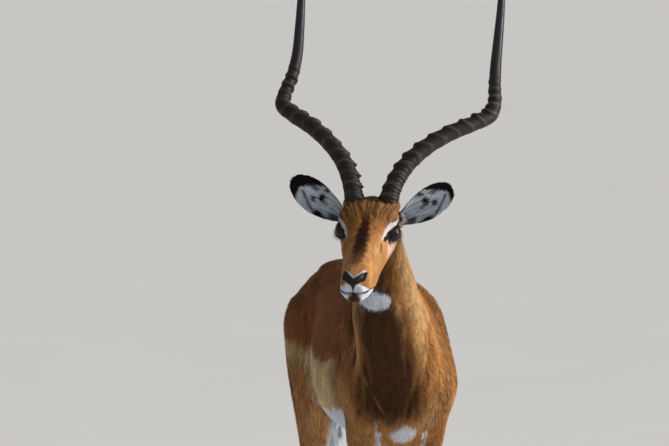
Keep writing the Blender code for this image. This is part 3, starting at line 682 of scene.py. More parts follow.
def eye_frame(sign):
    """Middle of the eyeball, the way it looks, its long axis towards the nose, and its short axis."""
    along, height, out = EYE_PLACE
    middle = on_head((along, height, sign * out))
    gaze = unit(0.66 * FORWARD + 0.74 * sign * LEFT + 0.10 * UP)
    slant = FORWARD - 0.08 * UP
    long = unit(slant - slant @ gaze * gaze)
    return middle, gaze, long, unit(np.cross(gaze, long)) * sign


def lid_angle(points, sign):
    """How far each point lies from the gaze as a share of the lids' opening, and its distance."""
    middle, gaze, long, short = eye_frame(sign)
    away = points - middle
    distance = np.linalg.norm(away, axis=1)
    q = away / np.maximum(distance, TINY)[:, None]
    across, rise = np.arctan2(q @ long, q @ gaze), np.arcsin(np.clip(q @ short, -1, 1))
    return np.hypot(across / EYE_OPEN[0], rise / EYE_OPEN[1]), distance


def off_gaze(sign, across, rise):
    """The ways from the eyeball's middle that lie across and over its gaze by these angles."""
    _, gaze, long, short = eye_frame(sign)
    return (
        (np.cos(rise) * np.cos(across))[..., None] * gaze
        + (np.cos(rise) * np.sin(across))[..., None] * long
        + np.sin(rise)[..., None] * short
    )


def from_eyes(points):
    """The share of the lids' opening and the distance of lid_angle, each for the nearer eye."""
    shares, distances = zip(*(lid_angle(points, sign) for _, sign in SIDES))
    return np.minimum(*shares), np.minimum(*distances)


def set_lids(points):
    """Draws the skin in behind the eyeball inside the opening and just over it round the edge."""
    for _, sign in SIDES:
        share, distance = lid_angle(points, sign)
        middle = eye_frame(sign)[0]
        inside = EYE_RADIUS - 0.0040
        lid = EYE_RADIUS + 0.0013
        wanted = inside + (lid - inside) * ramp(share, 0.86, 1.02)
        outer = np.maximum(distance, lid - 0.0025 * ramp(share, 1.5, 2.2))
        blend = ramp(share, 1.02, 1.75)
        wanted = np.where(share < 1.02, wanted, lid * (1 - blend) + outer * blend)
        reach = 1 - ramp(distance, 0.030, 0.040)
        front = 1 - ramp(share, 2.2, 2.8)
        moved = distance + (wanted - distance) * reach * front
        points = middle + (points - middle) * (moved / np.maximum(distance, TINY))[:, None]
    return points


def swollen(local, swells, side):
    """Sum of bell-shaped swells at local places, each on both sides of the axis numbered side."""
    rise = np.zeros(len(local))
    for swell in swells:
        for sign in (1,) if swell.place[side] == 0 else (1, -1):
            place = np.array(swell.place)
            place[side] *= sign
            rise += swell.rise * bell(local, place, swell.radii)
    return rise


def furrowed(points):
    """Depth of the furrows between the muscles: a bell across each path."""
    depth = np.zeros(len(points))
    for furrow in FURROWS:
        for sign in furrow.sides:
            path = np.array(furrow.path) * (sign, 1, 1)
            depth += furrow.depth * np.exp(-((distance_to_path(points, path) / furrow.width) ** 2))
    return depth


def distance_to_path(points, path):
    """Shortest distance from each point to a path of straight pieces."""
    best = np.full(len(points), FAR)
    for a, b in zip(path, path[1:]):
        a, b = np.array(a, float), np.array(b, float)
        t = np.clip(((points - a) @ (b - a)) / ((b - a) @ (b - a)), 0, 1)[:, None]
        best = np.minimum(best, np.linalg.norm(points - a - t * (b - a), axis=1))
    return best


def mouth_gap(local):
    """Height over the line of the mouth, and how far back along it the point lies (0 is past its end)."""
    line = np.array(MOUTH)[::-1]
    height = local[:, 1] - np.interp(local[:, 0], line[:, 0], line[:, 1])
    return height, ramp(local[:, 0], 0.186, 0.200)


def muzzle_shift(along):
    """How far the middle of the muzzle lies to one side: the 1.5th power of the way past the cheeks."""
    return MUZZLE_BEND * np.clip((along - 0.13) / 0.15, 0, 1.1) ** 1.5


def face_places(points):
    """(along, height, out) on the head, out being measured from the bent middle of the muzzle."""
    local = in_head(points)
    local[:, 2] -= muzzle_shift(local[:, 0])
    return local


def bend_muzzle(points, part):
    """Carries the muzzle to one side."""
    return points + (muzzle_shift(in_head(points)[:, 0]) * (part == SKULL))[:, None] * LEFT


def both_sides(local):
    """Places on the head brought over to its left side."""
    return np.column_stack([local[:, :2], np.abs(local[:, 2])])


def nose_leather(local):
    """Bare pad, stem and the pale hair over them, by the way down the front of the muzzle (level) and
    out from its middle: the pad lies between two curves, and the stem narrows towards the lip."""
    a, h, o = local.T
    out = np.abs(o)
    level = 0.57 * (a - 0.272) - 0.95 * (h + 0.044)
    top = np.interp(out, PAD_OUT, PAD_TOP)
    low = np.interp(out, PAD_OUT, PAD_LOW)
    front = ramp(a, 0.236, 0.242)
    pad = ramp(level - top, -0.0005, 0.0008) * (1 - ramp(level - low, -0.0008, 0.0005)) * front
    half = np.interp(level, (0.014, 0.023, 0.034), (0.0062, 0.0034, 0.0016))
    stem = (1 - ramp(out - half, -0.0006, 0.0008)) * ramp(level, 0.010, 0.012)
    stem = stem * (1 - ramp(level, 0.033, 0.035))
    pale = np.exp(-(((level - top + 0.0018) / 0.0014) ** 2)) * (1 - ramp(out, 0.021, 0.0245)) * front
    return pad, stem * front, pale, level


def forehead_folds(local):
    """Share of the forehead at each place, and folds that fan out from the bridge: a sine across it."""
    a, h, o = local.T
    share = (1 - ramp(a, 0.100, 0.135)) * ramp(a, 0.030, 0.055) * ramp(h, -0.034, -0.014)
    fan = o / (0.70 + 6.0 * np.clip(0.125 - a, 0, 0.09))
    return share, np.sin(560 * fan + 2.0 * np.sin(30 * a) + 1.9 * np.sin(175 * fan) + 1.4)


def carve_face(points, normals, part):
    """Mouth, nostrils and folds of the face, on the head's own corners only."""
    local = face_places(points)
    mirrored = both_sides(local)
    rise = swollen(local, HEAD_SWELLS, 2)
    height, along = mouth_gap(local)
    rise -= 0.0030 * np.exp(-((height / 0.0022) ** 2)) * along
    rise -= 0.0062 * np.exp(-((distance_to_path(mirrored, NOSTRIL) / 0.0032) ** 2))
    rise += 0.0010 * nose_leather(local)[0]
    rise -= 0.0024 * np.exp(-((distance_to_path(mirrored, SLIT) / 0.0020) ** 2))
    share, fold = forehead_folds(local)
    rise += 0.0007 * share * fold
    return points + (rise * (part == SKULL))[:, None] * normals


Hide = namedtuple("Hide", "points normals flow part quads forms")  # what the coat grows from


def make_skin(settings, look):
    """All flesh as one mesh: forms joined, made even, smoothed, then given muscles and a face."""
    forms = patches(settings.depth)
    solids = [tube(form.rings) for form in forms]
    for _, sign in SIDES:
        root = (EAR_ROOT[0] + 0.004, EAR_ROOT[1] + 0.004, sign * (EAR_ROOT[2] - 0.004))
        solids.append(tube(ball(on_head(root), (0.017, 0.017, 0.020))))
        solids.append(tube(ball(on_head((0.034, -0.015, sign * 0.036)), (0.0240, 0.0240, 0.0175))))
    lens = Lens(on_head((0.10, -0.050, 0.0)), settings.head_detail, 0.5, 0.19, 0.30)
    points, *groups = join(solids)
    points, quads = remeshed(lens.enlarge(points), groups, settings.voxel)
    points = lens.shrink(points)
    edges = neighbours(quads)

    sources = np.vstack([form.rings.reshape(-1, 3) for form in forms])
    parts = np.concatenate([np.full(form.rings.shape[0] * form.rings.shape[1], form.part) for form in forms])
    lies = np.vstack([np.asarray(form.flow).reshape(-1, 3) for form in forms])
    found = nearest(points, sources)
    part = parts[found]

    # The forms are smoothed into each other most where they meet.
    joint = (part[edges[:, 0]] != part[edges[:, 1]]).astype(float)
    meeting = np.zeros(len(points))
    np.maximum.at(meeting, edges.ravel(), np.repeat(joint, 2))
    meeting = np.clip(relax(meeting[:, None], edges, 60)[:, 0] * 9.0, 0, 1)[:, None]
    burr = bell(both_sides(in_head(points)), (0.036, -0.006, 0.038), (0.030, 0.022, 0.028))
    meeting = np.maximum(meeting, ramp(burr, 0.15, 0.60)[:, None]) * (part != PINNA)[:, None]
    smooth = relax(points, edges, 60)
    points = points + meeting * (smooth - points)
    points = relax(points, edges, 4, swell_back=True)

    normals = corner_normals(points, quads)
    thin = (part == PINNA)[:, None] * 0.0007
    points = points - thin * normals
    rise = swollen(points, BODY_SWELLS, 0) - furrowed(points) * (part != SKULL)
    points = points + rise[:, None] * normals
    points = carve_face(bend_muzzle(points, part), normals, part)
    points = set_lids(points)
    normals = corner_normals(points, quads)
    flow = relax(lies[found], edges, 25)
    flow = unit(flow - (flow * normals).sum(axis=1, keepdims=True) * normals)

    quads = outward(points, quads)[0]
    values = markings(points, part, normals)
    values["tip"] = np.zeros(len(points))
    values["tone"] = np.full(len(points), 0.5)
    skin = make_piece("skin", points, (quads,), look, values)
    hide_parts(*FLESH_NODES)
    return Hide(points, normals, flow, part, quads, forms)


# ---------------------------------------------------------------- markings
def leg_side(points, part):
    """-1 on the inner face of a leg and 1 on its outer face; 0 elsewhere."""
    z = np.clip(points[:, 2], CORONET, 0.87)
    side = np.zeros(len(points))
    for kind, levels in ((FORE, FORELEG), (HIND, HINDLEG)):
        _, _, middle, half = leg_row(levels, z)
        side = np.where(part == kind, (np.abs(points[:, 0]) - middle) / half, side)
    return side


def nape_share(z, normals):
    """Rufous hair on top of the neck and shoulders, by the slope of the surface and its height."""
    return 0.55 * ramp(normals[:, 1] + 0.35 * normals[:, 2], 0.0, 0.75) * ramp(z, 0.66, 1.0)


def trunk_marks(marks, points, part, normals):
    """Trunk and tops of the legs: a rufous saddle over a fawn flank over a white belly."""
    x, y, z = points.T
    ax = np.abs(x)
    wave = 0.006 * np.sin(23 * y + 3.1 * x) + 0.004 * np.sin(61 * y + 11 * z)
    wave = wave + 0.002 * np.sin(151 * y + 90 * z)
    torso = (part == TRUNK) | (part == FORE) | (part == HIND)
    trunk = part == TRUNK
    edge = SADDLE_EDGE + 0.020 * ramp(y, 0.20, 0.55) + wave
    behind = ramp(y + 0.35 * (z - 0.80), 0.00, 0.15)
    saddle = ramp(z, edge - 0.009, edge + 0.010) * (0.15 + 0.85 * behind)
    saddle = np.maximum(saddle, ramp(z, 0.70, 0.86) * ramp(y, -0.19, -0.05) * (1 - behind) * 0.62)
    saddle = np.maximum(saddle, nape_share(z, normals) * (1 - behind))
    fawn = (1 - ramp(z, edge - 0.009, edge + 0.010)) * ramp(y + 0.25 * (z - 0.66), 0.04, 0.13)
    fawn = fawn * (1 - ramp(y, 0.590, 0.630))
    haunch = 0.66 * np.exp(-(((z - 0.712 - wave) / 0.023) ** 2)) * (1 - saddle)
    outside = (part == HIND) & (leg_side(points, part) > -0.2)
    belly = BELLY_EDGE + wave * 0.6
    white = (1 - ramp(z, belly - 0.006, belly + 0.006)) * ramp(y, -0.06, 0.00) * trunk
    fold = np.exp(-(((y - 0.435 - 0.25 * (z - 0.66)) / 0.010) ** 2))
    fold = fold * (1 - ramp(z, 0.700, 0.735)) * (ax > 0.06)
    white = np.maximum(white, 0.24 * fold * ramp(z, 0.56, 0.62))
    breast = bell(points, (-0.002, -0.115, 0.582), (0.030, 0.05, 0.026))
    armpit = bell(np.column_stack([ax, y, z]), (0.050, -0.085, 0.578), (0.011, 0.035, 0.010))
    patches_below = np.maximum(0.90 * ramp(breast, 0.30, 0.66), 0.80 * ramp(armpit, 0.30, 0.80))
    white = np.maximum(white, patches_below * (part != HIND))
    rump = ramp(y, 0.685, 0.705) * ramp(z, 0.50, 0.56) * (1 - ramp(ax, 0.030, 0.046))
    stripe = np.exp(-(((ax - 0.052) / 0.0075) ** 2)) * ramp(y, 0.655, 0.690) * ramp(z, 0.56, 0.62)
    stripe *= 1 - ramp(z, 0.800, 0.835)
    marks["saddle"] = np.where(torso, saddle, marks["saddle"])
    marks["fawn"] = np.where(trunk, fawn, np.where(outside, haunch, marks["fawn"]))
    marks["white"] = np.where(torso, np.maximum(white, rump), marks["white"])
    marks["black"] = np.where(torso, stripe, marks["black"])


def leg_marks(marks, points, part):
    """Legs: white inside, a black tuft above the hind fetlock, pale over the hoof, a dark knee."""
    x, y, z = points.T
    mirrored = np.column_stack([np.abs(x), y, z])
    leg = (part == FORE) | (part == HIND)
    side = leg_side(points, part)
    inner = ramp(-side, 0.12, 0.80) * (1 - ramp(z, 0.60, 0.70) * (part == FORE)) * ramp(z, 0.10, 0.36)
    pale = np.maximum(0.95 * inner, 0.5 * (1 - ramp(z, 0.050, 0.075)))
    tuft = bell(mirrored, HEEL_TUFT, (0.0115, 0.016, 0.026)) * (part == HIND)
    knee = bell(mirrored, (0.056, -0.026, 0.318), (0.008, 0.010, 0.020)) * (part == FORE)
    shin = np.exp(-(((side + 0.1) / 0.45) ** 2)) * ramp(z, 0.16, 0.26) * (1 - ramp(z, 0.50, 0.62))
    marks["white"] = np.where(leg, np.maximum(marks["white"], pale), marks["white"])
    marks["black"] = np.maximum(marks["black"], ramp(tuft, 0.30, 0.55))
    marks["brown"] = np.maximum(marks["brown"], np.maximum(0.6 * knee, 0.10 * shin * leg))


def tail_marks(marks, points, part, normals):
    """Tail: black down the middle of its back, white at the edges and under it."""
    tail = part == BRUSH
    back = (normals[:, 1] > 0.1) & (np.abs(points[:, 0]) < 0.0065)
    z = points[:, 2]
    marks["white"] = np.where(tail, 0.95 * ramp(0.80 - z, 0.04, 0.09), marks["white"])
    marks["black"] = np.where(tail, back * ramp(0.78 - z, 0.02, 0.08), marks["black"])


def neck_marks(marks, points, part, normals):
    """Neck and breast: a white throat with a painted shadow of the jaw along its top, a rufous nape, paler
    sides that are partly painted light, and darker hair down the front that is partly painted shade.
    """
    x, y, z = points.T
    neck = part == NECK
    throat = bell(points, THROAT, (0.044, 0.090, 0.0310))
    throat = throat + 0.03 * np.sin(700 * x) * np.sin(330 * x + 90 * z)
    # painted shadow of the jaw: a thin black line along the top of the white throat patch
    jaw_shadow = bell(points, (-0.072, -0.240, 0.8900), (0.015, 0.040, 0.0042))
    strands = np.sin(330 * x + 60 * y + 5 * np.sin(17 * z)) * np.sin(47 * z + 90 * x)
    middle = np.interp(z, [0.58, 0.70, 0.86], [-0.032, -0.046, -0.082])
    half = np.interp(z, [0.58, 0.66, 0.78, 0.88], [0.076, 0.084, 0.060, 0.042])
    window = np.exp(-(np.abs((x - middle) / half) ** 3))
    # darker hair down the front of the neck and breast: partly the coat's own dark hair, partly painted shade
    # where the front faces away from the light under the head
    front = ramp(-normals[:, 1], 0.02, 0.56) * ramp(z, 0.565, 0.645) * (1 - 0.22 * ramp(z, 0.83, 0.88))
    front = np.clip(1.28 * front * (0.87 + 0.13 * strands) * window, 0, 0.97)
    front = front * ((part == NECK) | (part == TRUNK) | (part == FORE))
    # how far a point lies before a steep line down the front of the shoulder
    past_shoulder = (z - 0.955) / 3.73 - (y + 0.115)
    # paler fawn on both sides of the neck: partly the coat's own paler tan, partly painted light
    lit = 0.42 * ramp(np.abs(normals[:, 0]), 0.10, 0.65) * ramp(past_shoulder, 0.0, 0.08)
    marks["saddle"] = np.where(neck, nape_share(z, normals), marks["saddle"])
    marks["fawn"] = np.where(neck, lit, marks["fawn"])
    marks["white"] = np.where(neck, ramp(throat, 0.60, 0.70), marks["white"])
    marks["black"] = np.where(neck, 0.85 * ramp(jaw_shadow, 0.3, 0.8), marks["black"])
    marks["brown"] = np.maximum(marks["brown"], front)


def head_marks(marks, points, part):
    """Head: dark bridge, forehead browner than the cheeks, white brows, lips and chin, black nose, a painted
    shadow along the cheek bone and a painted black shadow of the ear's root behind the eye.
    """
    head = part == SKULL
    local = face_places(points)
    mirrored = both_sides(local)
    a, h, o = local.T
    ao = np.abs(o)
    halfway = np.interp(a, [0.00, 0.09, 0.13, 0.165, 0.200, 0.232, 0.258],
                        [0.008, 0.008, 0.0105, 0.0140, 0.0148, 0.0110, 0.005])
    ragged = 0.0016 * np.sin(420 * a + 60 * o) + 0.0012 * np.sin(910 * a)
    bridge = (1 - ramp(np.abs(o + 0.002) + ragged, halfway * 0.50, halfway * 1.30)) * ramp(h, -0.050, -0.036)
    bridge *= (0.60 + 0.40 * ramp(a, 0.085, 0.130)) * (1 - 0.40 * ramp(a, 0.19, 0.25))
    bridge *= 1 - ramp(a, 0.236, 0.262)
    share, fold = forehead_folds(local)
    forehead = (1 - ramp(a, 0.105, 0.155)) * ramp(h, -0.040, -0.014) * (0.54 - 0.22 * fold * share)
    # painted shadow under the cheek bone
    cheek = 0.16 * np.exp(-((distance_to_path(mirrored, CHEEK_SHADOW_PATH) / 0.010) ** 2))
    brown = np.maximum.reduce([bridge, forehead, cheek])

    share_open, distance = from_eyes(points)
    wide = np.interp(a, [0.090, 0.101, 0.115, 0.130, 0.150], [0.0022, 0.0035, 0.0044, 0.0037, 0.0022])
    above = distance_to_path(mirrored, BROW) - wide
    brow = (1 - ramp(above, -0.0010, 0.0012)) * (0.35 + 0.36 * ramp(a, 0.086, 0.104))
    below = ramp(bell(mirrored, (0.130, -0.060, 0.046), (0.026, 0.0180, 0.020)), 0.10, 1.00) * 0.44
    pad, stem, pale, level = nose_leather(local)
    lip_line = np.interp(ao, (0.0, 0.012, 0.022, 0.034), (0.0190, 0.0185, 0.0230, 0.0310))
    lips = ramp(a, 0.222, 0.236) * ramp(level - lip_line, -0.0015, 0.0015)
    jaw_line = np.interp(a, [0.08, 0.12, 0.20, 0.24], [-0.135, -0.126, -0.106, -0.088])
    chin = (1 - ramp(h - jaw_line, -0.006, 0.002)) * ramp(a, 0.050, 0.075)
    gap, along = mouth_gap(local)
    under = 0.50 * (gap < 0) * ramp(a, 0.180, 0.195)
    white = np.maximum.reduce([brow, below, lips, chin, under, 0.9 * pale])

    bare = np.maximum(pad, stem)
    mouth = np.exp(-((gap / (0.0021 + 0.0012 * ramp(a, 0.262, 0.280))) ** 4)) * along
    spot = bell(local, (0.290, -0.0950, 0.002), (0.024, 0.0230, 0.0150))
    slit = 1 - ramp(distance_to_path(mirrored, SLIT), 0.0014, 0.0036)
    under_brow = np.interp(a, [0.066, 0.085, 0.101, 0.115, 0.130, 0.147],
                           [-0.0150, -0.0180, -0.0220, -0.0240, -0.0265, -0.0300])
    upper = 1.03 + 1.25 * ramp(h, -0.052, -0.026)
    rim = (1 - ramp(share_open - upper, 0.0, 0.14)) * (distance < 0.036)
    rim = rim * (1 - ramp(h - under_brow, -0.001, 0.001))
    corner = 1 - ramp(distance_to_path(mirrored, TEAR), 0.0036, 0.0054)
    crown = bell(local, (0.020, 0.000, 0.0), (0.022, 0.020, 0.012))
    # painted shadow of the ear's root: black behind the eye
    ear_root_shadow = 1 - ramp(distance_to_path(mirrored, EAR_ROOT_SHADOW_PATH), 0.009, 0.015)
    black = np.maximum.reduce([
        bare, mouth, 0.60 * slit, rim, corner, 0.8 * ramp(crown, 0.3, 0.7), 0.9 * ear_root_shadow,
    ])
    spot = ramp(spot, 0.30, 0.60)
    brown, white = np.maximum(brown, 0.85 * spot), white * (1 - spot)
    black = np.maximum(black, 0.40 * spot)
    for name, mark in (("brown", brown), ("white", white), ("black", black), ("bare", bare)):
        marks[name] = np.where(head, mark, marks[name])


def ear_places(points, part, normals, sign):
    """Which points are on this ear, their share of its length, place across it (1 at its upper edge,
    -1 at its lower), and which of them are on the hollow side."""
    table = np.array(EAR)
    out, facing, across = ear_axes(sign)
    away = points - on_head((EAR_ROOT[0], EAR_ROOT[1], sign * EAR_ROOT[2]))
    reach = away @ out / EAR_LENGTH
    middle = EAR_BEND * np.clip(reach, 0, 1) ** EAR_CURL
    up = (-sign * (away @ across) - middle) / np.interp(reach, table[:, 0], table[:, 1])
    own = (part == PINNA) & ((points[:, 0] - HEAD_ORIGIN[0]) * sign > 0)
    return own, reach, up, normals @ facing > 0.05


def ear_marks(marks, points, part, normals):
    """Ears: black over the tip and down the upper edge, white inside with dark lines and patches."""
    for _, sign in SIDES:
        own, reach, up, inside = ear_places(points, part, normals, sign)
        ragged = 0.020 * np.sin(40 * up + 3 * reach) + 0.012 * np.sin(95 * up + 20 * reach)
        tip = ramp(reach + ragged - 0.80 + 0.40 * np.clip(up, 0, 1), -0.02, 0.03)
        edge = ramp(up, 0.86, 0.94) * ramp(reach, 0.12, 0.25)
        fold = np.interp(reach, [0.44, 0.74], [-0.70, -0.12])
        line = np.exp(-(((up - fold) / 0.085) ** 2)) * ramp(reach, 0.42, 0.48) * (1 - ramp(reach, 0.74, 0.78))
        spots = np.zeros(len(points))
        for place, radii, depth in EAR_SPOTS:
            spot = bell(np.column_stack([reach + ragged, up]), place, radii)
            spots = np.maximum(spots, depth * ramp(spot, 0.35, 0.70))
        streaks = 0.55 * ramp(np.sin(26 * up + 14 * reach), 0.6, 1.0) * (1 - ramp(reach, 0.35, 0.50))
        dark = np.maximum.reduce([tip, edge, line * inside, spots * inside, streaks * inside])
        marks["black"] = np.where(own, dark, marks["black"])
        marks["white"] = np.where(own, inside, marks["white"])
        marks["brown"] = np.where(own, 0.25 * ~inside, marks["brown"])


def markings(points, part, normals):
    """Shares of each coat colour at body-frame points: the same on the skin and on every tuft."""
    marks = {name: np.zeros(len(points)) for name in ("saddle", "fawn", "brown", "white", "black", "bare")}
    trunk_marks(marks, points, part, normals)
    leg_marks(marks, points, part)
    tail_marks(marks, points, part, normals)
    neck_marks(marks, points, part, normals)
    head_marks(marks, points, part)
    ear_marks(marks, points, part, normals)
    return {name: np.clip(mark, 0, 1) for name, mark in marks.items()}


# ---------------------------------------------------------------- the coat
Region = namedtuple("Region", "name part tufts")
REGIONS = (
    Region("coat_trunk_left", TRUNK, 46000),
    Region("coat_trunk_right", TRUNK, 46000),
    Region("coat_neck", NECK, 50000),
    Region("coat_head", SKULL, 62000),
    Region("coat_ears", PINNA, 30000),
    Region("coat_forelegs", FORE, 44000),
    Region("coat_hindlegs", HIND, 50000),
    Region("coat_tail", BRUSH, 9000),
)
# Hair on each part but the ears: length, width and height over the skin in metres, then how much
# each of these changes towards the nose, down the leg or down the tail.
HAIR = {
    TRUNK: ((0.0155, 0.0017, 0.0042), (0, 0, 0)),
    NECK: ((0.0165, 0.0017, 0.0042), (0, 0, 0)),
    SKULL: ((0.0088, 0.0011, 0.0019), (-0.0048, -0.0003, -0.0012)),
    FORE: ((0.0145, 0.0016, 0.0036), (-0.0075, -0.0006, -0.0022)),
    HIND: ((0.0145, 0.0016, 0.0036), (-0.0075, -0.0006, -0.0022)),
    BRUSH: ((0.0180, 0.0017, 0.0040), (0.0200, 0, 0.0030)),
}
TUFT_TIP = (0.0, 0.0, 0.6, 0.6, 1.0)  # how near the tip each corner of a tuft is
TUFT_CORNERS = len(TUFT_TIP)
TUFT_FACES = np.array([[0, 1, 3], [0, 3, 2], [2, 3, 4]])
TUFT_PATCH = 0.0015 * np.array([(-1, -1), (1, -1), (-1, 0), (1, 0), (0, 1)])  # one tuft on the flat map


def tuft_sizes(points, part, normals, local):
    """Length, width and height over the skin of the hair at each root, in metres: short on the face,
    the shanks and the ears, longer on the neck, under the jaw, on the crown and down the tail."""
    z = points[:, 2]
    down = 1 - ramp(z, 0.30, 0.62)
    slopes = {SKULL: ramp(local[:, 0], 0.02, 0.24), FORE: down, HIND: down, BRUSH: 1 - ramp(z, 0.50, 0.74)}
    sizes = np.zeros((3, len(points)))
    for kind, (size, change) in HAIR.items():
        changed = np.reshape(size, (3, 1)) + np.outer(change, slopes.get(kind, 0))
        sizes = np.where(part == kind, changed, sizes)
    length, width, stand = sizes
    behind = (0, HEEL_TUFT[1] - 0.010, HEEL_TUFT[2])
    tuft = bell(points * (0, 1, 1), behind, (1, 0.022, 0.030)) * (part == HIND)
    length, stand = length + 0.013 * tuft, stand + 0.0045 * tuft
    head = part == SKULL
    chin = np.clip(bell(local, (0.150, -0.140, 0.0), (0.075, 0.020, 0.040)) * 1.5, 0, 1) * head
    length, stand = length + 0.0065 * chin, stand + 0.0022 * chin
    throat = ramp(bell(points, THROAT, (0.045, 0.055, 0.055)), 0.3, 0.6) * (part == NECK)
    length, stand = length - 0.004 * throat, stand + 0.001 * throat
    crown = bell(local, (0.022, 0.0, 0.0), (0.022, 0.030, 0.020)) * head
    length, stand = length + 0.007 * crown, stand + 0.004 * crown
    for _, sign in SIDES:
        own, reach, up, inside = ear_places(points, part, normals, sign)
        rim = np.maximum(ramp(np.abs(up), 0.55, 0.85), ramp(reach, 0.68, 0.88))
        length = np.where(own, np.where(inside, 0.0125 - 0.0075 * rim, 0.0055 - 0.0015 * rim), length)
        stand = np.where(own, np.where(inside, 0.0019 - 0.0012 * rim, 0.0008), stand)
        width = np.where(own, 0.0010, width)
    return length, width, stand


def step_share(away, step):
    """How far the way from a corner goes along the step to the next, as a share of it, half at most."""
    return np.clip((away * step).sum(1) / np.maximum((step**2).sum(1), TINY), -0.5, 0.5)


def flat_places(hide, region, roots):
    """Places on the unit square: along the form and round it, forms side by side, by nearest corner."""
    forms = [form for form in hide.forms if form.part == region.part]
    found_at = np.zeros((len(roots), 2))
    closest = np.full(len(roots), FAR)
    for k, form in enumerate(forms):
        rows, around = form.rings.shape[:2]
        corners = form.rings.reshape(-1, 3)
        found = nearest(roots, corners)
        gap = np.linalg.norm(roots - corners[found], axis=1)
        along = np.gradient(form.rings, axis=0).reshape(-1, 3)
        turn = (np.roll(form.rings, -1, axis=1) - np.roll(form.rings, 1, axis=1)).reshape(-1, 3) / 2
        away = roots - corners[found]
        u = (found // around + step_share(away, along[found])) / (rows - 1)
        v = (found % around + 0.5 + step_share(away, turn[found])) / around
        own = gap < closest
        closest = np.where(own, gap, closest)
        found_at[own, 0] = ((k + np.clip(u, 0.01, 0.99)) / len(forms))[own]
        found_at[own, 1] = np.clip(v, 0.003, 0.997)[own]
    return found_at


def scatter(hide, chosen, weight, count, rng):
    """Roots spread over the chosen triangles, each triangle's share being its area times its weight."""
    triangles = np.vstack([hide.quads[chosen][:, [0, 1, 2]], hide.quads[chosen][:, [0, 2, 3]]])
    corner = hide.points[triangles]
    area = np.linalg.norm(np.cross(corner[:, 1] - corner[:, 0], corner[:, 2] - corner[:, 0]), axis=1)
    total = np.cumsum(area * weight[triangles].mean(axis=1))
    at = (np.arange(count) + rng.random(count)) / count * total[-1]
    picked = triangles[np.searchsorted(total, at).clip(0, len(triangles) - 1)]
    r, s = np.sqrt(rng.random(count)), rng.random(count)
    share = np.column_stack([1 - r, r * (1 - s), r * s])[:, :, None]
    return (
        (hide.points[picked] * share).sum(axis=1),
        unit((hide.normals[picked] * share).sum(axis=1)),
        unit((hide.flow[picked] * share).sum(axis=1)),
    )


def blades(roots, normals, flow, length, width, stand, rng):
    """Each tuft as a blade of five corners: two at the root, two halfway and one at the tip.

    Its middle line leaves the skin at a slope and lies down again, and neighbours lean alike."""
    count = len(roots)
    lean = 0.20 * np.sin(roots @ np.array((61.0, 37.0, 43.0)))
    lean = lean + 0.13 * np.sin(roots @ np.array((-23.0, 111.0, 97.0)))
    lean = lean + rng.normal(0, 0.14, count)
    side = unit(np.cross(flow, normals))
    way = unit(flow + np.tan(np.clip(lean, -0.6, 0.6))[:, None] * side)
    across = unit(np.cross(way, normals)) + rng.normal(0, 0.18, (count, 1)) * normals
    length = length * rng.uniform(0.70, 1.20, count)
    stand = stand * rng.uniform(0.55, 1.15, count)
    half = (width * rng.uniform(0.7, 1.2, count) / 2)[:, None]
    middle = roots + 0.48 * length[:, None] * way + 0.72 * stand[:, None] * normals
    tip = roots + length[:, None] * way + stand[:, None] * normals
    base = roots - 0.0006 * normals
    corners = [base - half * across, base + half * across]
    corners += [middle - 0.85 * half * across, middle + 0.85 * half * across, tip]
    return np.stack(corners, axis=1)


def make_coat(region, hide, settings, look):
    """One region's tufts as one mesh, its colours read off the same markings as the skin's."""
    rng = np.random.default_rng(sum(map(ord, region.name)))
    owner = hide.part[hide.quads[:, 0]]
    chosen = owner == region.part
    if region.name.startswith("coat_trunk"):
        left = hide.points[hide.quads[:, 0], 0] > 0
        chosen &= left if region.name.endswith("left") else ~left
    share, distance = from_eyes(hide.points)
    bare = markings(hide.points, hide.part, hide.normals)["bare"]
    weight = (1 - (bare > 0.3)) * np.where((share < 1.18) & (distance < 0.034), 0.0, 1.0)
    weight = weight * (hide.points[:, 2] > CORONET + 0.002)
    local = in_head(hide.points)
    weight = weight * np.where(hide.part == SKULL, 0.6 + 1.6 * ramp(local[:, 0], 0.0, 0.20), 1.0)
    leg = (hide.part == FORE) | (hide.part == HIND)
    weight = weight * np.where(leg, 1.0 + 1.6 * (1 - ramp(hide.points[:, 2], 0.30, 0.60)), 1.0)
    count = int(region.tufts * settings.thickness)
    roots, normals, flow = scatter(hide, chosen, weight, count, rng)
    part = np.full(count, region.part)
    length, width, stand = tuft_sizes(roots, part, normals, in_head(roots))
    corners = blades(roots, normals, flow, length, width, stand, rng)
    marks = markings(roots, part, normals)
    marks.pop("bare")
    values = {key: np.repeat(mark, TUFT_CORNERS) for key, mark in marks.items()}
    values["tip"] = np.tile(TUFT_TIP, count)
    values["tone"] = np.repeat(rng.random(count), TUFT_CORNERS)
    first = np.arange(count)[:, None] * TUFT_CORNERS
    faces = (first + TUFT_FACES.reshape(1, -1)).reshape(-1, 3)
    coat = make_piece(region.name, corners.reshape(-1, 3), (faces,), look, values)
    # A tuft is lit as the skin under it, leaning along the hair and a little at random.
    lit = unit(normals * 0.85 + 0.30 * flow + rng.normal(0, 0.16, (count, 3)))
    coat.data.normals_split_custom_set_from_vertices(np.repeat(lit, TUFT_CORNERS, axis=0))
    places = flat_places(hide, region, roots)
    spread = (np.clip(places, 0.002, 0.998)[:, None, :] + TUFT_PATCH).reshape(-1, 2)
    bake = coat.data.uv_layers.new(name="OFBake")
    bake.data.foreach_set("uv", spread[faces.ravel()].astype(np.float32).ravel())
    return coat


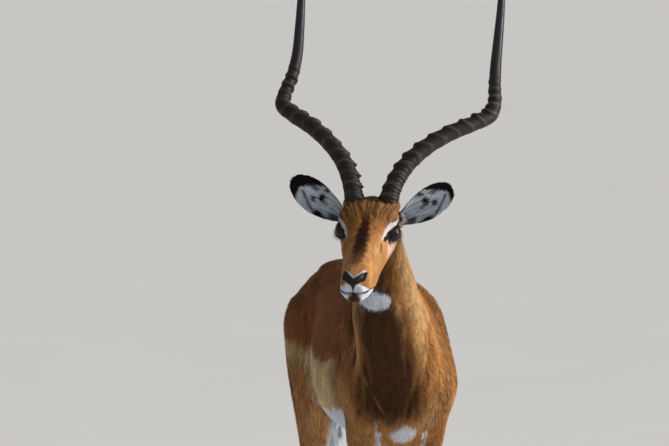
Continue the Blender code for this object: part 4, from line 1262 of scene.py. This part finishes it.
# ---------------------------------------------------------------- eyes
def eye_surface(sign, radius, rings=40, around=56):
    """A ball whose front swells into a clear window: radius times 1 + 0.05 (1 - (t/0.75)²)², where t
    is the angle from the gaze. With it come that angle and the place across the long pupil."""
    middle, gaze, long, short = eye_frame(sign)
    t = np.linspace(0.015, math.pi - 0.015, rings)[:, None]
    a = np.linspace(0, 2 * math.pi, around, endpoint=False)[None, :]
    r = radius * (1 + 0.050 * np.clip(1 - (t / 0.75) ** 2, 0, 1) ** 2)
    shape = (
        np.cos(t)[..., None] * gaze
        + (np.sin(t) * np.cos(a))[..., None] * long
        + (np.sin(t) * np.sin(a))[..., None] * short
    )
    off = np.broadcast_to(t, (rings, around))
    wide = np.hypot(np.sin(t) * np.cos(a) / 1.5, np.sin(t) * np.sin(a))
    return middle + r[..., None] * shape, off, wide


def make_eyes(settings, look):
    """The two eyeballs, each in place of its solid."""
    for word, sign in SIDES:
        rings, off, wide = eye_surface(sign, settings.eye_radius)
        points, quads, caps = tube(rings)
        values = {"off_centre": with_ends(off), "pupil": with_ends(wide)}
        eye = make_piece(f"eyeball_{word}", points, outward(points, quads, caps), look, values)
        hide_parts(f"eye_{word}")


def lid_rings(sign, around=72, across=10):
    """A rim round the opening: from just inside the edge, over it as half a sine, and down into the
    skin, drawn out to a point at the eye's inner corner."""
    middle = eye_frame(sign)[0]
    a = np.linspace(0, 2 * math.pi, around, endpoint=False)[:, None]
    t = np.linspace(0, 1, across)[None, :]
    point_out = 1 + 0.05 * np.exp(-((np.minimum(a, 2 * math.pi - a) / 0.30) ** 2))
    share = (0.90 + 0.36 * t) * point_out
    q = off_gaze(sign, share * EYE_OPEN[0] * np.cos(a), share * EYE_OPEN[1] * np.sin(a))
    hump = np.sin(math.pi * np.clip(t * 1.15, 0, 1))
    r = EYE_RADIUS + 0.0002 + 0.0017 * hump * (1 + 0.25 * np.sin(a)) + 0.0003 * t
    top = middle + r[..., None] * q
    under = middle + (EYE_RADIUS - 0.0022) * q
    return np.concatenate([top, under[:, ::-1]], axis=1)


def ring_tube(rings):
    """Four-sided faces of a tube whose last outline joins its first."""
    rows, around = rings.shape[:2]
    i, j = np.arange(rows)[:, None], np.arange(around)[None, :]
    k, m = (j + 1) % around, (i + 1) % rows
    quads = np.stack([i * around + j, i * around + k, m * around + k, m * around + j], axis=-1)
    return rings.reshape(-1, 3), quads.reshape(-1, 4)


def make_lids(look):
    """The rims of the lids of both eyes."""
    for word, sign in SIDES:
        points, quads = ring_tube(lid_rings(sign))
        make_piece(f"eyelids_{word}", points, outward(points, quads), look)


def make_lashes(look, count=30):
    """Stiff dark hairs along the upper lid, each a tapering three-sided spike that curves up and out:
    a straight way out plus a share of the square of the way along it."""
    for word, sign in SIDES:
        rng = np.random.default_rng(11)
        middle, gaze, long, short = eye_frame(sign)
        a = np.radians(np.linspace(38, 160, count)) + rng.normal(0, 0.02, count)
        q = off_gaze(sign, 1.07 * EYE_OPEN[0] * np.cos(a), 1.07 * EYE_OPEN[1] * np.sin(a))
        root = middle + (EYE_RADIUS + 0.0014) * q
        length = 0.0085 * rng.uniform(0.7, 1.1, count)[:, None] * (0.55 + 0.45 * np.sin(a)[:, None])
        out = unit(q + 0.45 * gaze)
        t = np.linspace(0, 1, 5)[None, :, None]
        curl = (short - 0.25 * long)[None, None]
        line = root[:, None] + length[:, None] * (t * out[:, None] + 0.45 * t**2 * curl)
        thick = (0.00045 * (1 - 0.92 * t)) * np.ones((count, 1, 1))
        side, up = unit(np.cross(out, short)), unit(np.cross(out, np.cross(short, out)))
        angle = np.linspace(0, 2 * math.pi, 3, endpoint=False)[None, None, :, None]
        spoke = np.cos(angle) * side[:, None, None] + np.sin(angle) * up[:, None, None]
        hairs = [tube(hair) for hair in line[:, :, None] + thick[..., None] * spoke]
        points, quads, caps = join(hairs)
        make_piece(f"lashes_{word}", points, outward(points, quads, caps), look)


# ---------------------------------------------------------------- horns and hooves
def horn_surface(sign, rows=460, around=44):
    """A bent cone. Ridges stand on its ringed part, high on the side between front and inner and low
    behind, each rising steeply on the side of the burr and sinking slowly towards the tip: the phase
    of a sine is pushed on by its own sine. They stand closer near the burr and near the ringed end."""
    table = np.array(HORN)
    base = on_head((HORN_BASE[0], HORN_BASE[1], sign * HORN_BASE[2]))
    spots = (
        base
        + (sign * table[:, 0:1] + table[:, 3:4]) * LEFT
        + table[:, 1:2] * np.cross(LEVEL, LEFT)
        - table[:, 2:3] * LEVEL
    )
    reach = np.concatenate([[0], np.cumsum(np.linalg.norm(np.diff(spots, axis=0), axis=1))])
    share = reach / reach[-1]
    plain, plain_rows = 0.64, 60  # where the smooth end starts, and how few outlines it needs
    at = np.linspace(0, plain, rows - plain_rows)
    at = np.concatenate([at, np.linspace(plain, 1, plain_rows + 1)[1:]])
    centre = through(share, spots, at)
    radius = HORN_RADIUS * through(share, table[:, 4], at)[:, 0]
    way = unit(np.gradient(centre, axis=0))
    side = unit(np.cross(way, -LEVEL))
    front = np.cross(side, way)
    angle = np.linspace(0, 2 * math.pi, around, endpoint=False)[None, :]
    fade = 1 - ramp(at, HORN_RINGED - 0.05, HORN_RINGED + 0.06)
    ringed = at[:, None] / HORN_RINGED
    turn = HORN_RINGS * ringed + 0.55 * np.sin(2 * math.pi * ringed)
    turn = turn + 0.10 * np.sin(2 * angle + 9 * at[:, None]) + 0.26 * np.sin(angle + 0.6 * sign)
    phase = 2 * math.pi * turn
    crest = (0.5 + 0.5 * np.sin(phase + 0.70 * np.sin(phase))) ** 1.7
    uneven = 0.78 + 0.22 * np.sin(13.7 * np.floor(turn) + 2.1 * sign)
    twist = 0.85 + 2.2 * ramp(ringed, 0.70, 0.95)
    lift = 0.50 + 0.50 * np.sin(angle + sign * twist)
    low = 1 - ramp(ringed, 0.10, 0.45)
    fine = 0.00070 * low * np.sin(3 * phase + 2 * angle) + 0.00022 * np.sin(17 * angle + 40 * at[:, None])
    fine = fine + 0.00030 * np.sin(7 * phase + 3 * angle)
    bump = fade[:, None] * (0.0066 * crest * uneven * (0.10 + 0.90 * lift**1.3) - 0.0012 + fine)
    grain = 0.00012 * np.sin(23 * angle + 3 * np.sin(14 * at[:, None]))
    radius = radius[:, None]
    r = radius + bump * np.clip(radius / 0.014, 0, 1) + grain * np.clip(radius / 0.01, 0, 1)
    rings = centre[:, None] + (r * np.cos(angle))[..., None] * side[:, None]
    rings = rings + (r * np.sin(angle))[..., None] * front[:, None]
    return rings, crest * fade[:, None], np.broadcast_to(at[:, None], crest.shape)


def make_horns(look):
    """The two horns, each in place of its solid."""
    for word, sign in SIDES:
        rings, crest, reach = horn_surface(sign)
        points, quads, caps = tube(rings)
        values = {"crest": with_ends(crest), "reach": with_ends(reach)}
        horn = make_piece(f"ringed_horn_{word}", points, outward(points, quads, caps), look, values)
        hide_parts(f"horn_{word}")


def claw_rings(front, back, side, sign, turn, rings=22, around=40):
    """Outlines of one claw from the ground up: long, flat on its inner face, pointed in front, with a
    wall that slopes back to the coronet. The outer face is a power of a sine, narrowed to the front."""
    inner = sign * side + sign * turn * 0.0008
    heights = np.array([0.0, 0.0012, 0.012, 0.028, CORONET])
    lead = np.array([front - 0.0185, front - 0.0200, front - 0.0190, front - 0.0080, front + 0.0020])
    trail = np.array([back + 0.0030, back + 0.0045, back + 0.0050, back + 0.0050, back + 0.0010])
    width = HOOF_WIDTH + np.array([0.0008, 0.0020, 0.0020, 0.0005, -0.0005])
    z = np.concatenate([[0.0, 0.0012], np.linspace(0.004, CORONET - 0.0015, rings - 3), [CORONET]])
    lead, trail, width = through(heights, np.column_stack([lead, trail, width]), z).T
    t = np.linspace(0, 2 * math.pi, around, endpoint=False)[None, :]
    along = 0.5 - 0.5 * np.cos(t)
    bulge = np.abs(np.sin(t)) ** 0.75 * (1 - 0.42 * along**2.2) * (0.80 + 0.20 * np.cos(t * 0.5) ** 2)
    wall = np.where(t < math.pi, bulge, 0.03 * np.abs(np.sin(t)))
    y = trail[:, None] + (lead - trail)[:, None] * along
    ring = 0.00020 * np.sin(z * 1500)[:, None] * (wall > 0.05)
    x = inner + sign * turn * (width[:, None] * wall + ring)
    return np.stack([x, y, np.broadcast_to(z[:, None], y.shape)], axis=-1)


def make_hooves(look):
    """Two claws to each foot, each in place of its solid."""
    for word, sign in SIDES:
        for name, levels in (("fore", FORELEG), ("hind", HINDLEG)):
            _, front, back, side, _ = levels[-1]
            for face, turn in (("inner", -1), ("outer", 1)):
                points, quads, caps = tube(claw_rings(front, back, side, sign, turn))
                groups = outward(points, quads, caps)
                values = {"height": points[:, 2]}
                claw = make_piece(f"{name}_claw_{word}_{face}", points, groups, look, values)
                claw.data.set_sharp_from_angle(angle=math.radians(48))
                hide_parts(f"{name}hoof_{word}_{face}")


# ---------------------------------------------------------------- materials
class Nodes:
    """Adds nodes to a tree: each input is a number, a colour or another node's output."""

    def __init__(self, tree):
        self.tree = tree

    def add(self, kind, inputs=None, **settings):
        """A node of this kind with its settings and inputs."""
        node = self.tree.nodes.new(kind)
        for key, value in settings.items():
            setattr(node, key, value)
        self.feed(node, inputs or {})
        return node

    def feed(self, node, inputs):
        """Gives a node its inputs: links from outputs, and numbers and colours on its own sockets."""
        for key, value in inputs.items():
            if isinstance(value, bpy.types.NodeSocket):
                self.tree.links.new(value, node.inputs[key])
            else:
                node.inputs[key].default_value = value

    def value(self, name):
        """A named value of the mesh."""
        return self.add("ShaderNodeAttribute", attribute_name=name).outputs["Fac"]

    def noise(self, scale, detail=3.0, stretch=(1, 1, 1)):
        """Noise on the object's own coordinates; a stretch below 1 draws it out along that axis."""
        place = self.add("ShaderNodeTexCoord").outputs["Object"]
        place = self.add("ShaderNodeMapping", {"Vector": place, "Scale": stretch}).outputs[0]
        inputs = {"Vector": place, "Scale": scale, "Detail": detail, "Roughness": 0.55}
        return self.add("ShaderNodeTexNoise", inputs).outputs["Fac"]

    def mix(self, share, first, second, blend="MIX"):
        """The first colour, with the second blended over it by the share."""
        inputs = {0: share, 6: first, 7: second}
        return self.add("ShaderNodeMix", inputs, data_type="RGBA", blend_type=blend).outputs[2]

    def spread(self, value, low, high, to_low=0.0, to_high=1.0):
        """The range from low to high stretched onto another, and held at its ends."""
        inputs = {"Value": value, "From Min": low, "From Max": high, "To Min": to_low, "To Max": to_high}
        return self.add("ShaderNodeMapRange", inputs).outputs["Result"]

    def times(self, first, second):
        """The product of two numbers."""
        return self.add("ShaderNodeMath", {0: first, 1: second}, operation="MULTIPLY").outputs[0]

    def grey(self, value):
        """A number as a colour."""
        return self.add("ShaderNodeCombineColor", {k: value for k in range(3)}).outputs[0]

    def bump(self, height, strength, distance):
        """The normal of a surface with small relief on it."""
        inputs = {"Height": height, "Strength": strength, "Distance": distance}
        return self.add("ShaderNodeBump", inputs).outputs[0]


def new_look(name):
    """A new material, a helper for its nodes, and its shader."""
    look = bpy.data.materials.new(name)
    look.use_nodes = True
    shader = look.node_tree.nodes["Principled BSDF"]
    return look, Nodes(look.node_tree), shader


def rgba(colour):
    """A colour with full cover."""
    return (*colour, 1.0)


def coat_colour(nodes, colours):
    """Tan, then each marking over it by its share, then patches and streaks lighter and darker."""
    base = nodes.mix(nodes.spread(nodes.noise(9.0), 0.35, 0.65), rgba(colours.tan), rgba(colours.deep_tan))
    for name in ("saddle", "fawn", "brown", "white", "black"):
        base = nodes.mix(nodes.value(name), base, rgba(getattr(colours, name)))
    streak = nodes.spread(nodes.noise(95.0, 4.0, (1, 1, 0.30)), 0.32, 0.68, 0.72, 1.22)
    blotch = nodes.spread(nodes.noise(17.0, 4.0, (1, 1, 0.6)), 0.34, 0.66, 0.80, 1.14)
    tone = nodes.spread(nodes.value("tone"), 0.0, 1.0, 0.78, 1.20)
    shade = nodes.grey(nodes.times(nodes.times(streak, blotch), tone))
    return nodes.mix(nodes.spread(nodes.value("white"), 0.0, 1.0, 1.0, 0.50), base, shade, "MULTIPLY")


def coat_look(colours):
    """Tufts: dark and warm at the root, which is painted shade, bright at the tip, with a soft sheen."""
    look, nodes, shader = new_look("ram_hair")
    # painted shade: each tuft darker towards its root, where the hair round it would shade it
    shade = nodes.grey(nodes.spread(nodes.value("tip"), 0.0, 1.0, 0.52, 1.10))
    colour = nodes.mix(1.0, coat_colour(nodes, colours), shade, "MULTIPLY")
    nodes.feed(shader, {"Base Color": colour, "Roughness": 0.62, "Specular IOR Level": 0.09})
    return look


def skin_look(colours):
    """The same markings, darker between the tufts with painted shade; bare on the nose, where it is black and
    pebbled.
    """
    look, nodes, shader = new_look("ram_skin")
    colour = coat_colour(nodes, colours)
    # painted shade: the skin under the coat darkened, as if shaded by the tufts
    colour = nodes.mix(1.0, colour, (0.62, 0.58, 0.55, 1), "MULTIPLY")
    bare = nodes.spread(nodes.value("bare"), 0.35, 0.65)
    colour = nodes.mix(bare, colour, rgba(colours.nose))
    place = nodes.add("ShaderNodeTexCoord").outputs["Object"]
    pebbles = nodes.add("ShaderNodeTexVoronoi", {"Vector": place, "Scale": 620.0}).outputs["Distance"]
    hair = nodes.noise(420.0, 3.0, (1, 1, 0.18))
    height = nodes.add("ShaderNodeMix", {0: bare, 2: hair, 3: pebbles}, data_type="FLOAT").outputs[0]
    nodes.feed(shader, {
        "Base Color": colour,
        "Roughness": nodes.spread(bare, 0.0, 1.0, 0.75, 0.36),
        "Specular IOR Level": 0.15,
        "Normal": nodes.bump(height, 0.6, 0.0006),
    })
    return look


def eye_look(settings):
    """A near-black brown ball with a lying pupil, under a wet clear coat."""
    look, nodes, shader = new_look("ram_eye")
    fibres = nodes.noise(900.0, 3.0)
    iris = nodes.mix(nodes.spread(fibres, 0.3, 0.7), rgba(settings.iris), (0.010, 0.005, 0.003, 1))
    pupil = nodes.spread(nodes.value("pupil"), 0.26, 0.33)
    colour = nodes.mix(pupil, (0.002, 0.002, 0.003, 1), iris)
    white = nodes.spread(nodes.value("off_centre"), 0.82, 0.95)
    colour = nodes.mix(white, colour, (0.012, 0.008, 0.007, 1))
    nodes.feed(shader, {
        "Base Color": colour,
        "Roughness": 0.50,
        "Specular IOR Level": 0.03,
        "Coat Weight": 0.75,
        "Coat Roughness": 0.02,
        "Coat IOR": 1.32,
    })
    return look


def lid_look(colours):
    """Bare dark rims: soft leather with fine folds."""
    look, nodes, shader = new_look("ram_lids")
    folds = nodes.noise(700.0, 4.0)
    colour = nodes.mix(folds, rgba(colours.nose), (0.018, 0.013, 0.012, 1))
    nodes.feed(shader, {
        "Base Color": colour,
        "Roughness": 0.45,
        "Specular IOR Level": 0.12,
        "Normal": nodes.bump(folds, 0.5, 0.0005),
    })
    return look


def horn_look(settings):
    """Dark brown between the ridges, paler on their crests with dust, wear and a painted highlight, grey and
    smooth towards the tip.
    """
    look, nodes, shader = new_look("ram_horn")
    grain = nodes.noise(260.0, 5.0, (1, 1, 0.16))
    blotch = nodes.noise(38.0, 4.0)
    ringed = nodes.mix(nodes.spread(grain, 0.30, 0.72), rgba(settings.dark), rgba(settings.brown))
    # paler crests: partly dust and wear, partly a painted highlight along the ridges
    crest_wear_and_highlight = nodes.spread(nodes.value("crest"), 0.45, 0.95)
    dust = nodes.times(crest_wear_and_highlight, nodes.spread(blotch, 0.35, 0.65, 0.25, 1.0))
    ringed = nodes.mix(nodes.times(dust, 0.55), ringed, rgba(settings.dust))
    smooth = nodes.mix(nodes.spread(grain, 0.25, 0.75), rgba(settings.grey), (0.013, 0.012, 0.016, 1))
    colour = nodes.mix(nodes.spread(nodes.value("reach"), 0.52, 0.64), ringed, smooth)
    nodes.feed(shader, {
        "Base Color": colour,
        "Roughness": nodes.spread(nodes.value("reach"), 0.5, 0.7, 0.55, 0.34),
        "Specular IOR Level": 0.22,
        "Normal": nodes.bump(grain, 0.55, 0.0008),
    })
    return look


def hoof_look(colours):
    """Black horn with fine upright grain, dusty near the ground."""
    look, nodes, shader = new_look("ram_hoof")
    grain = nodes.noise(500.0, 4.0, (1, 1, 0.08))
    colour = nodes.mix(grain, rgba(colours.nose), (0.050, 0.042, 0.036, 1))
    dust = nodes.times(nodes.spread(nodes.value("height"), 0.0, 0.016, 0.6, 0.0), nodes.noise(120.0))
    colour = nodes.mix(dust, colour, (0.150, 0.120, 0.090, 1))
    nodes.feed(shader, {
        "Base Color": colour,
        "Roughness": nodes.spread(grain, 0.0, 1.0, 0.35, 0.60),
        "Normal": nodes.bump(grain, 0.4, 0.0005),
    })
    return look


# ---------------------------------------------------------------- stage
def make_floor(colour, radius=80.0, around=96):
    """A wide round floor: a flat fan of triangles round the origin."""
    angle = np.linspace(0, 2 * math.pi, around, endpoint=False)
    rim = np.column_stack([np.cos(angle), np.sin(angle), np.zeros(around)]) * radius
    ring = np.arange(around) + 1
    fan = np.column_stack([np.zeros(around, int), ring, np.roll(ring, -1)])
    mesh = fill(bpy.data.meshes.new("floor"), np.vstack([[0, 0, 0], rim]), fan)
    look, nodes, shader = new_look("pale_floor")
    shade = nodes.mix(nodes.noise(1.5, 3.0), rgba(colour), rgba([0.94 * c for c in colour]))
    nodes.feed(shader, {"Base Color": shade, "Roughness": 0.8})
    mesh.materials.append(look)
    put("floor", mesh)


def aim(obj, place, target):
    """Puts a lamp or camera at a place, looking at a target with the world's up kept up."""
    back = unit(np.asarray(place, float) - np.asarray(target, float))
    right = unit(np.cross((0, 0, 1.0), back))
    up = np.cross(back, right)
    rows = [[right[k], up[k], back[k], place[k]] for k in range(3)]
    obj.matrix_world = Matrix(rows + [[0, 0, 0, 1]])


def make_lamp(name, place, target, size, power, colour):
    """A round lamp at a place, facing a target."""
    lamp = bpy.data.lights.new(name, "AREA")
    lamp.shape, lamp.size, lamp.energy, lamp.color = "DISK", size, power, colour
    aim(put(name, lamp), place, target)


def make_sun(name, towards, strength, colour):
    """A wide, far lamp, which lights the floor and the ram evenly from one side."""
    lamp = bpy.data.lights.new(name, "SUN")
    lamp.energy, lamp.angle, lamp.color = strength, math.radians(18), colour
    aim(put(name, lamp), np.array(towards) * 6.0, (0, 0, 0))


def make_camera(settings):
    """The camera stands round from the front by its azimuth, a little above the ram's chest."""
    a, e = settings.azimuth, settings.elevation
    back = np.array((math.sin(a) * math.cos(e), -math.cos(a) * math.cos(e), math.sin(e)))
    target = np.array(settings.target)
    data = bpy.data.cameras.new("camera")
    data.lens, data.clip_end = settings.lens, 200.0
    camera = put("camera", data)
    aim(camera, target + back * settings.distance, target)
    bpy.context.scene.camera = camera


def make_stage(settings):
    """Camera, floor, lamps, and a pale sky that gives an even light from all round."""
    make_camera(settings)
    make_floor(settings.floor)
    middle = (-0.05, -0.15, 0.95)
    make_sun("sun", (0.82, -0.22, 0.53), 2.5, (1.0, 0.95, 0.87))
    make_lamp("key", (3.2, -1.7, 1.7), middle, 1.0, 112, (1.0, 0.96, 0.90))
    make_lamp("front", (1.8, -4.3, 2.4), middle, 2.0, 14, (1.0, 0.98, 0.94))
    make_lamp("fill", (-3.6, -3.4, 1.8), middle, 2.5, 8, (0.97, 0.98, 1.0))
    world = bpy.data.worlds.new("studio")
    world.use_nodes = True
    nodes = Nodes(world.node_tree)
    direction = nodes.add("ShaderNodeTexCoord").outputs["Generated"]
    height = nodes.add("ShaderNodeSeparateXYZ", {0: direction}).outputs["Z"]
    sky = nodes.mix(nodes.spread(height, -0.1, 0.9), (0.90, 0.90, 0.90, 1), (0.72, 0.76, 0.82, 1))
    nodes.feed(world.node_tree.nodes["Background"], {"Color": sky, "Strength": settings.daylight})
    bpy.context.scene.world = world
    bpy.context.scene.view_settings.view_transform = "Standard"


# ---------------------------------------------------------------- what a user can change
def colour_field(name, default, description):
    """A colour property whose parts run from 0 to 1."""
    return FloatVectorProperty(
        name=name, description=description, default=default, subtype="COLOR", min=0, max=1
    )


class RamShape(PropertyGroup):
    """Sizes of the skin, the eyes and the fineness of the mesh."""

    depth: FloatProperty(name="Coat depth", description="How far the skin lies inside the coat's tips",
                         default=0.0050, unit="LENGTH")
    voxel: FloatProperty(name="Mesh size", description="Spacing of the skin's corners on the body",
                         default=0.0067, unit="LENGTH")
    head_detail: FloatProperty(name="Head detail", description="How many times finer the head's mesh is",
                               default=3.0)
    eye_radius: FloatProperty(name="Eye radius", description="Radius of the eyeball",
                              default=EYE_RADIUS, unit="LENGTH")
    thickness: FloatProperty(name="Coat thickness", description="Share of the full count of tufts",
                             default=1.0, min=0.01, max=1.2, subtype="FACTOR")


class RamColours(PropertyGroup):
    """Colours of the hair and of bare skin."""

    tan: colour_field("Tan", (0.490, 0.255, 0.098), "Face, neck and outside of the legs")
    deep_tan: colour_field("Deep tan", (0.400, 0.170, 0.050), "Darker patches in the tan")
    saddle: colour_field("Saddle", (0.235, 0.082, 0.018), "Rufous hair over the back")
    fawn: colour_field("Fawn", (0.600, 0.440, 0.232), "Pale band along the flank")
    # brown also carries painted shade down the front of the neck and breast, and a painted shadow along the
    # cheek bone
    brown: colour_field("Brown", (0.040, 0.014, 0.004), "Bridge of the nose and shading of the forehead")
    # painted skylight: the white's blue tint stands for the cool light of shade; the hair itself is white
    white: colour_field("White", (0.640, 0.695, 0.790), "Belly, throat, lips and inside of the ears")
    # black also carries painted shadows: along the top of the throat under the jaw, and behind the eye at the
    # ear's root
    black: colour_field("Black", (0.006, 0.005, 0.005), "Ear tips, rump stripes and heel tufts")
    nose: colour_field("Nose", (0.012, 0.012, 0.013), "Bare skin of the nose and lids")


class RamHorn(PropertyGroup):
    """Colours of the horns and of the iris."""

    dark: colour_field("Between ridges", (0.006, 0.004, 0.004), "Hollows between the rings")
    brown: colour_field("Ridges", (0.020, 0.013, 0.011), "Sides of the rings")
    # crests: partly dust and wear, partly a painted highlight along the ridges
    dust: colour_field("Crests", (0.090, 0.068, 0.060), "Worn, dusty crests of the rings")
    grey: colour_field("Smooth part", (0.024, 0.021, 0.027), "The smooth upper horn")
    iris: colour_field("Iris", (0.016, 0.007, 0.003), "Dark brown of the eye")


class RamStage(PropertyGroup):
    """Camera, floor and light."""

    azimuth: FloatProperty(name="Azimuth", description="Turn of the camera round the ram",
                           default=math.radians(-10.7), subtype="ANGLE")
    elevation: FloatProperty(name="Elevation", description="Height of the camera over level",
                             default=math.radians(3.0), subtype="ANGLE")
    distance: FloatProperty(name="Distance", description="Camera to target", default=14.5, unit="LENGTH")
    lens: FloatProperty(name="Lens", description="Focal length in millimetres", default=370.0)
    target: FloatVectorProperty(name="Target", description="Point that the camera looks at",
                                default=(-0.0825, -0.120, 1.015), subtype="TRANSLATION")
    floor: colour_field("Floor", (0.84, 0.83, 0.81), "The plain pale floor")
    daylight: FloatProperty(name="Daylight", description="Strength of the light from all round", default=0.40)


HIDES = {}  # the skin that the coat grows from, kept between the operators


class IMPALA_OT_skin(Operator):
    """Make the skin: all flesh as one mesh with its markings"""

    bl_idname = "impala.skin"
    bl_label = "Skin"

    def execute(self, context):
        scene = context.scene
        HIDES["ram"] = make_skin(scene.ram_shape, skin_look(scene.ram_colours))
        return {"FINISHED"}


class IMPALA_OT_coat(Operator):
    """Grow the coat from the skin, one mesh of tufts for each region"""

    bl_idname = "impala.coat"
    bl_label = "Coat"

    def execute(self, context):
        if "ram" not in HIDES:
            raise RuntimeError("make the skin before the coat")
        look = coat_look(context.scene.ram_colours)
        for region in REGIONS:
            make_coat(region, HIDES["ram"], context.scene.ram_shape, look)
        return {"FINISHED"}


class IMPALA_OT_eyes(Operator):
    """Make the eyeballs, their lids and lashes"""

    bl_idname = "impala.eyes"
    bl_label = "Eyes"

    def execute(self, context):
        scene = context.scene
        make_eyes(scene.ram_shape, eye_look(scene.ram_horn))
        look = lid_look(scene.ram_colours)
        make_lids(look)
        make_lashes(look)
        return {"FINISHED"}


class IMPALA_OT_horns(Operator):
    """Make the ringed horns"""

    bl_idname = "impala.horns"
    bl_label = "Horns"

    def execute(self, context):
        make_horns(horn_look(context.scene.ram_horn))
        return {"FINISHED"}


class IMPALA_OT_hooves(Operator):
    """Make the eight claws"""

    bl_idname = "impala.hooves"
    bl_label = "Hooves"

    def execute(self, context):
        make_hooves(hoof_look(context.scene.ram_colours))
        return {"FINISHED"}


class IMPALA_OT_stage(Operator):
    """Set up the floor, the lights and the camera"""

    bl_idname = "impala.stage"
    bl_label = "Stage"

    def execute(self, context):
        make_stage(context.scene.ram_stage)
        return {"FINISHED"}


STEPS = (IMPALA_OT_skin, IMPALA_OT_coat, IMPALA_OT_eyes, IMPALA_OT_horns, IMPALA_OT_hooves, IMPALA_OT_stage)
GROUPS = {"ram_shape": RamShape, "ram_colours": RamColours, "ram_horn": RamHorn, "ram_stage": RamStage}


class IMPALA_PT_panel(Panel):
    """Lists the pieces in the sidebar"""

    bl_idname = "IMPALA_PT_panel"
    bl_label = "Impala ram"
    bl_space_type = "VIEW_3D"
    bl_region_type = "UI"
    bl_category = "Impala"

    def draw(self, context):
        for step in STEPS:
            self.layout.operator(step.bl_idname)
        for name, group in GROUPS.items():
            box = self.layout.box()
            for field in group.__annotations__:
                box.prop(getattr(context.scene, name), field)


def register():
    """Adds the settings to the scene type, and the operators and the panel to Blender."""
    for name, group in GROUPS.items():
        bpy.utils.register_class(group)
        setattr(bpy.types.Scene, name, PointerProperty(type=group))
    for step in (*STEPS, IMPALA_PT_panel):
        bpy.utils.register_class(step)


def unregister():
    """Takes out again what register adds."""
    for step in (*STEPS, IMPALA_PT_panel):
        bpy.utils.unregister_class(step)
    for name, group in GROUPS.items():
        delattr(bpy.types.Scene, name)
        bpy.utils.unregister_class(group)


def main():
    """Makes every piece and the stage."""
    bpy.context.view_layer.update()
    register()
    for step in STEPS:
        module, name = step.bl_idname.split(".")
        getattr(getattr(bpy.ops, module), name)()


if __name__ == "__main__":
    main()
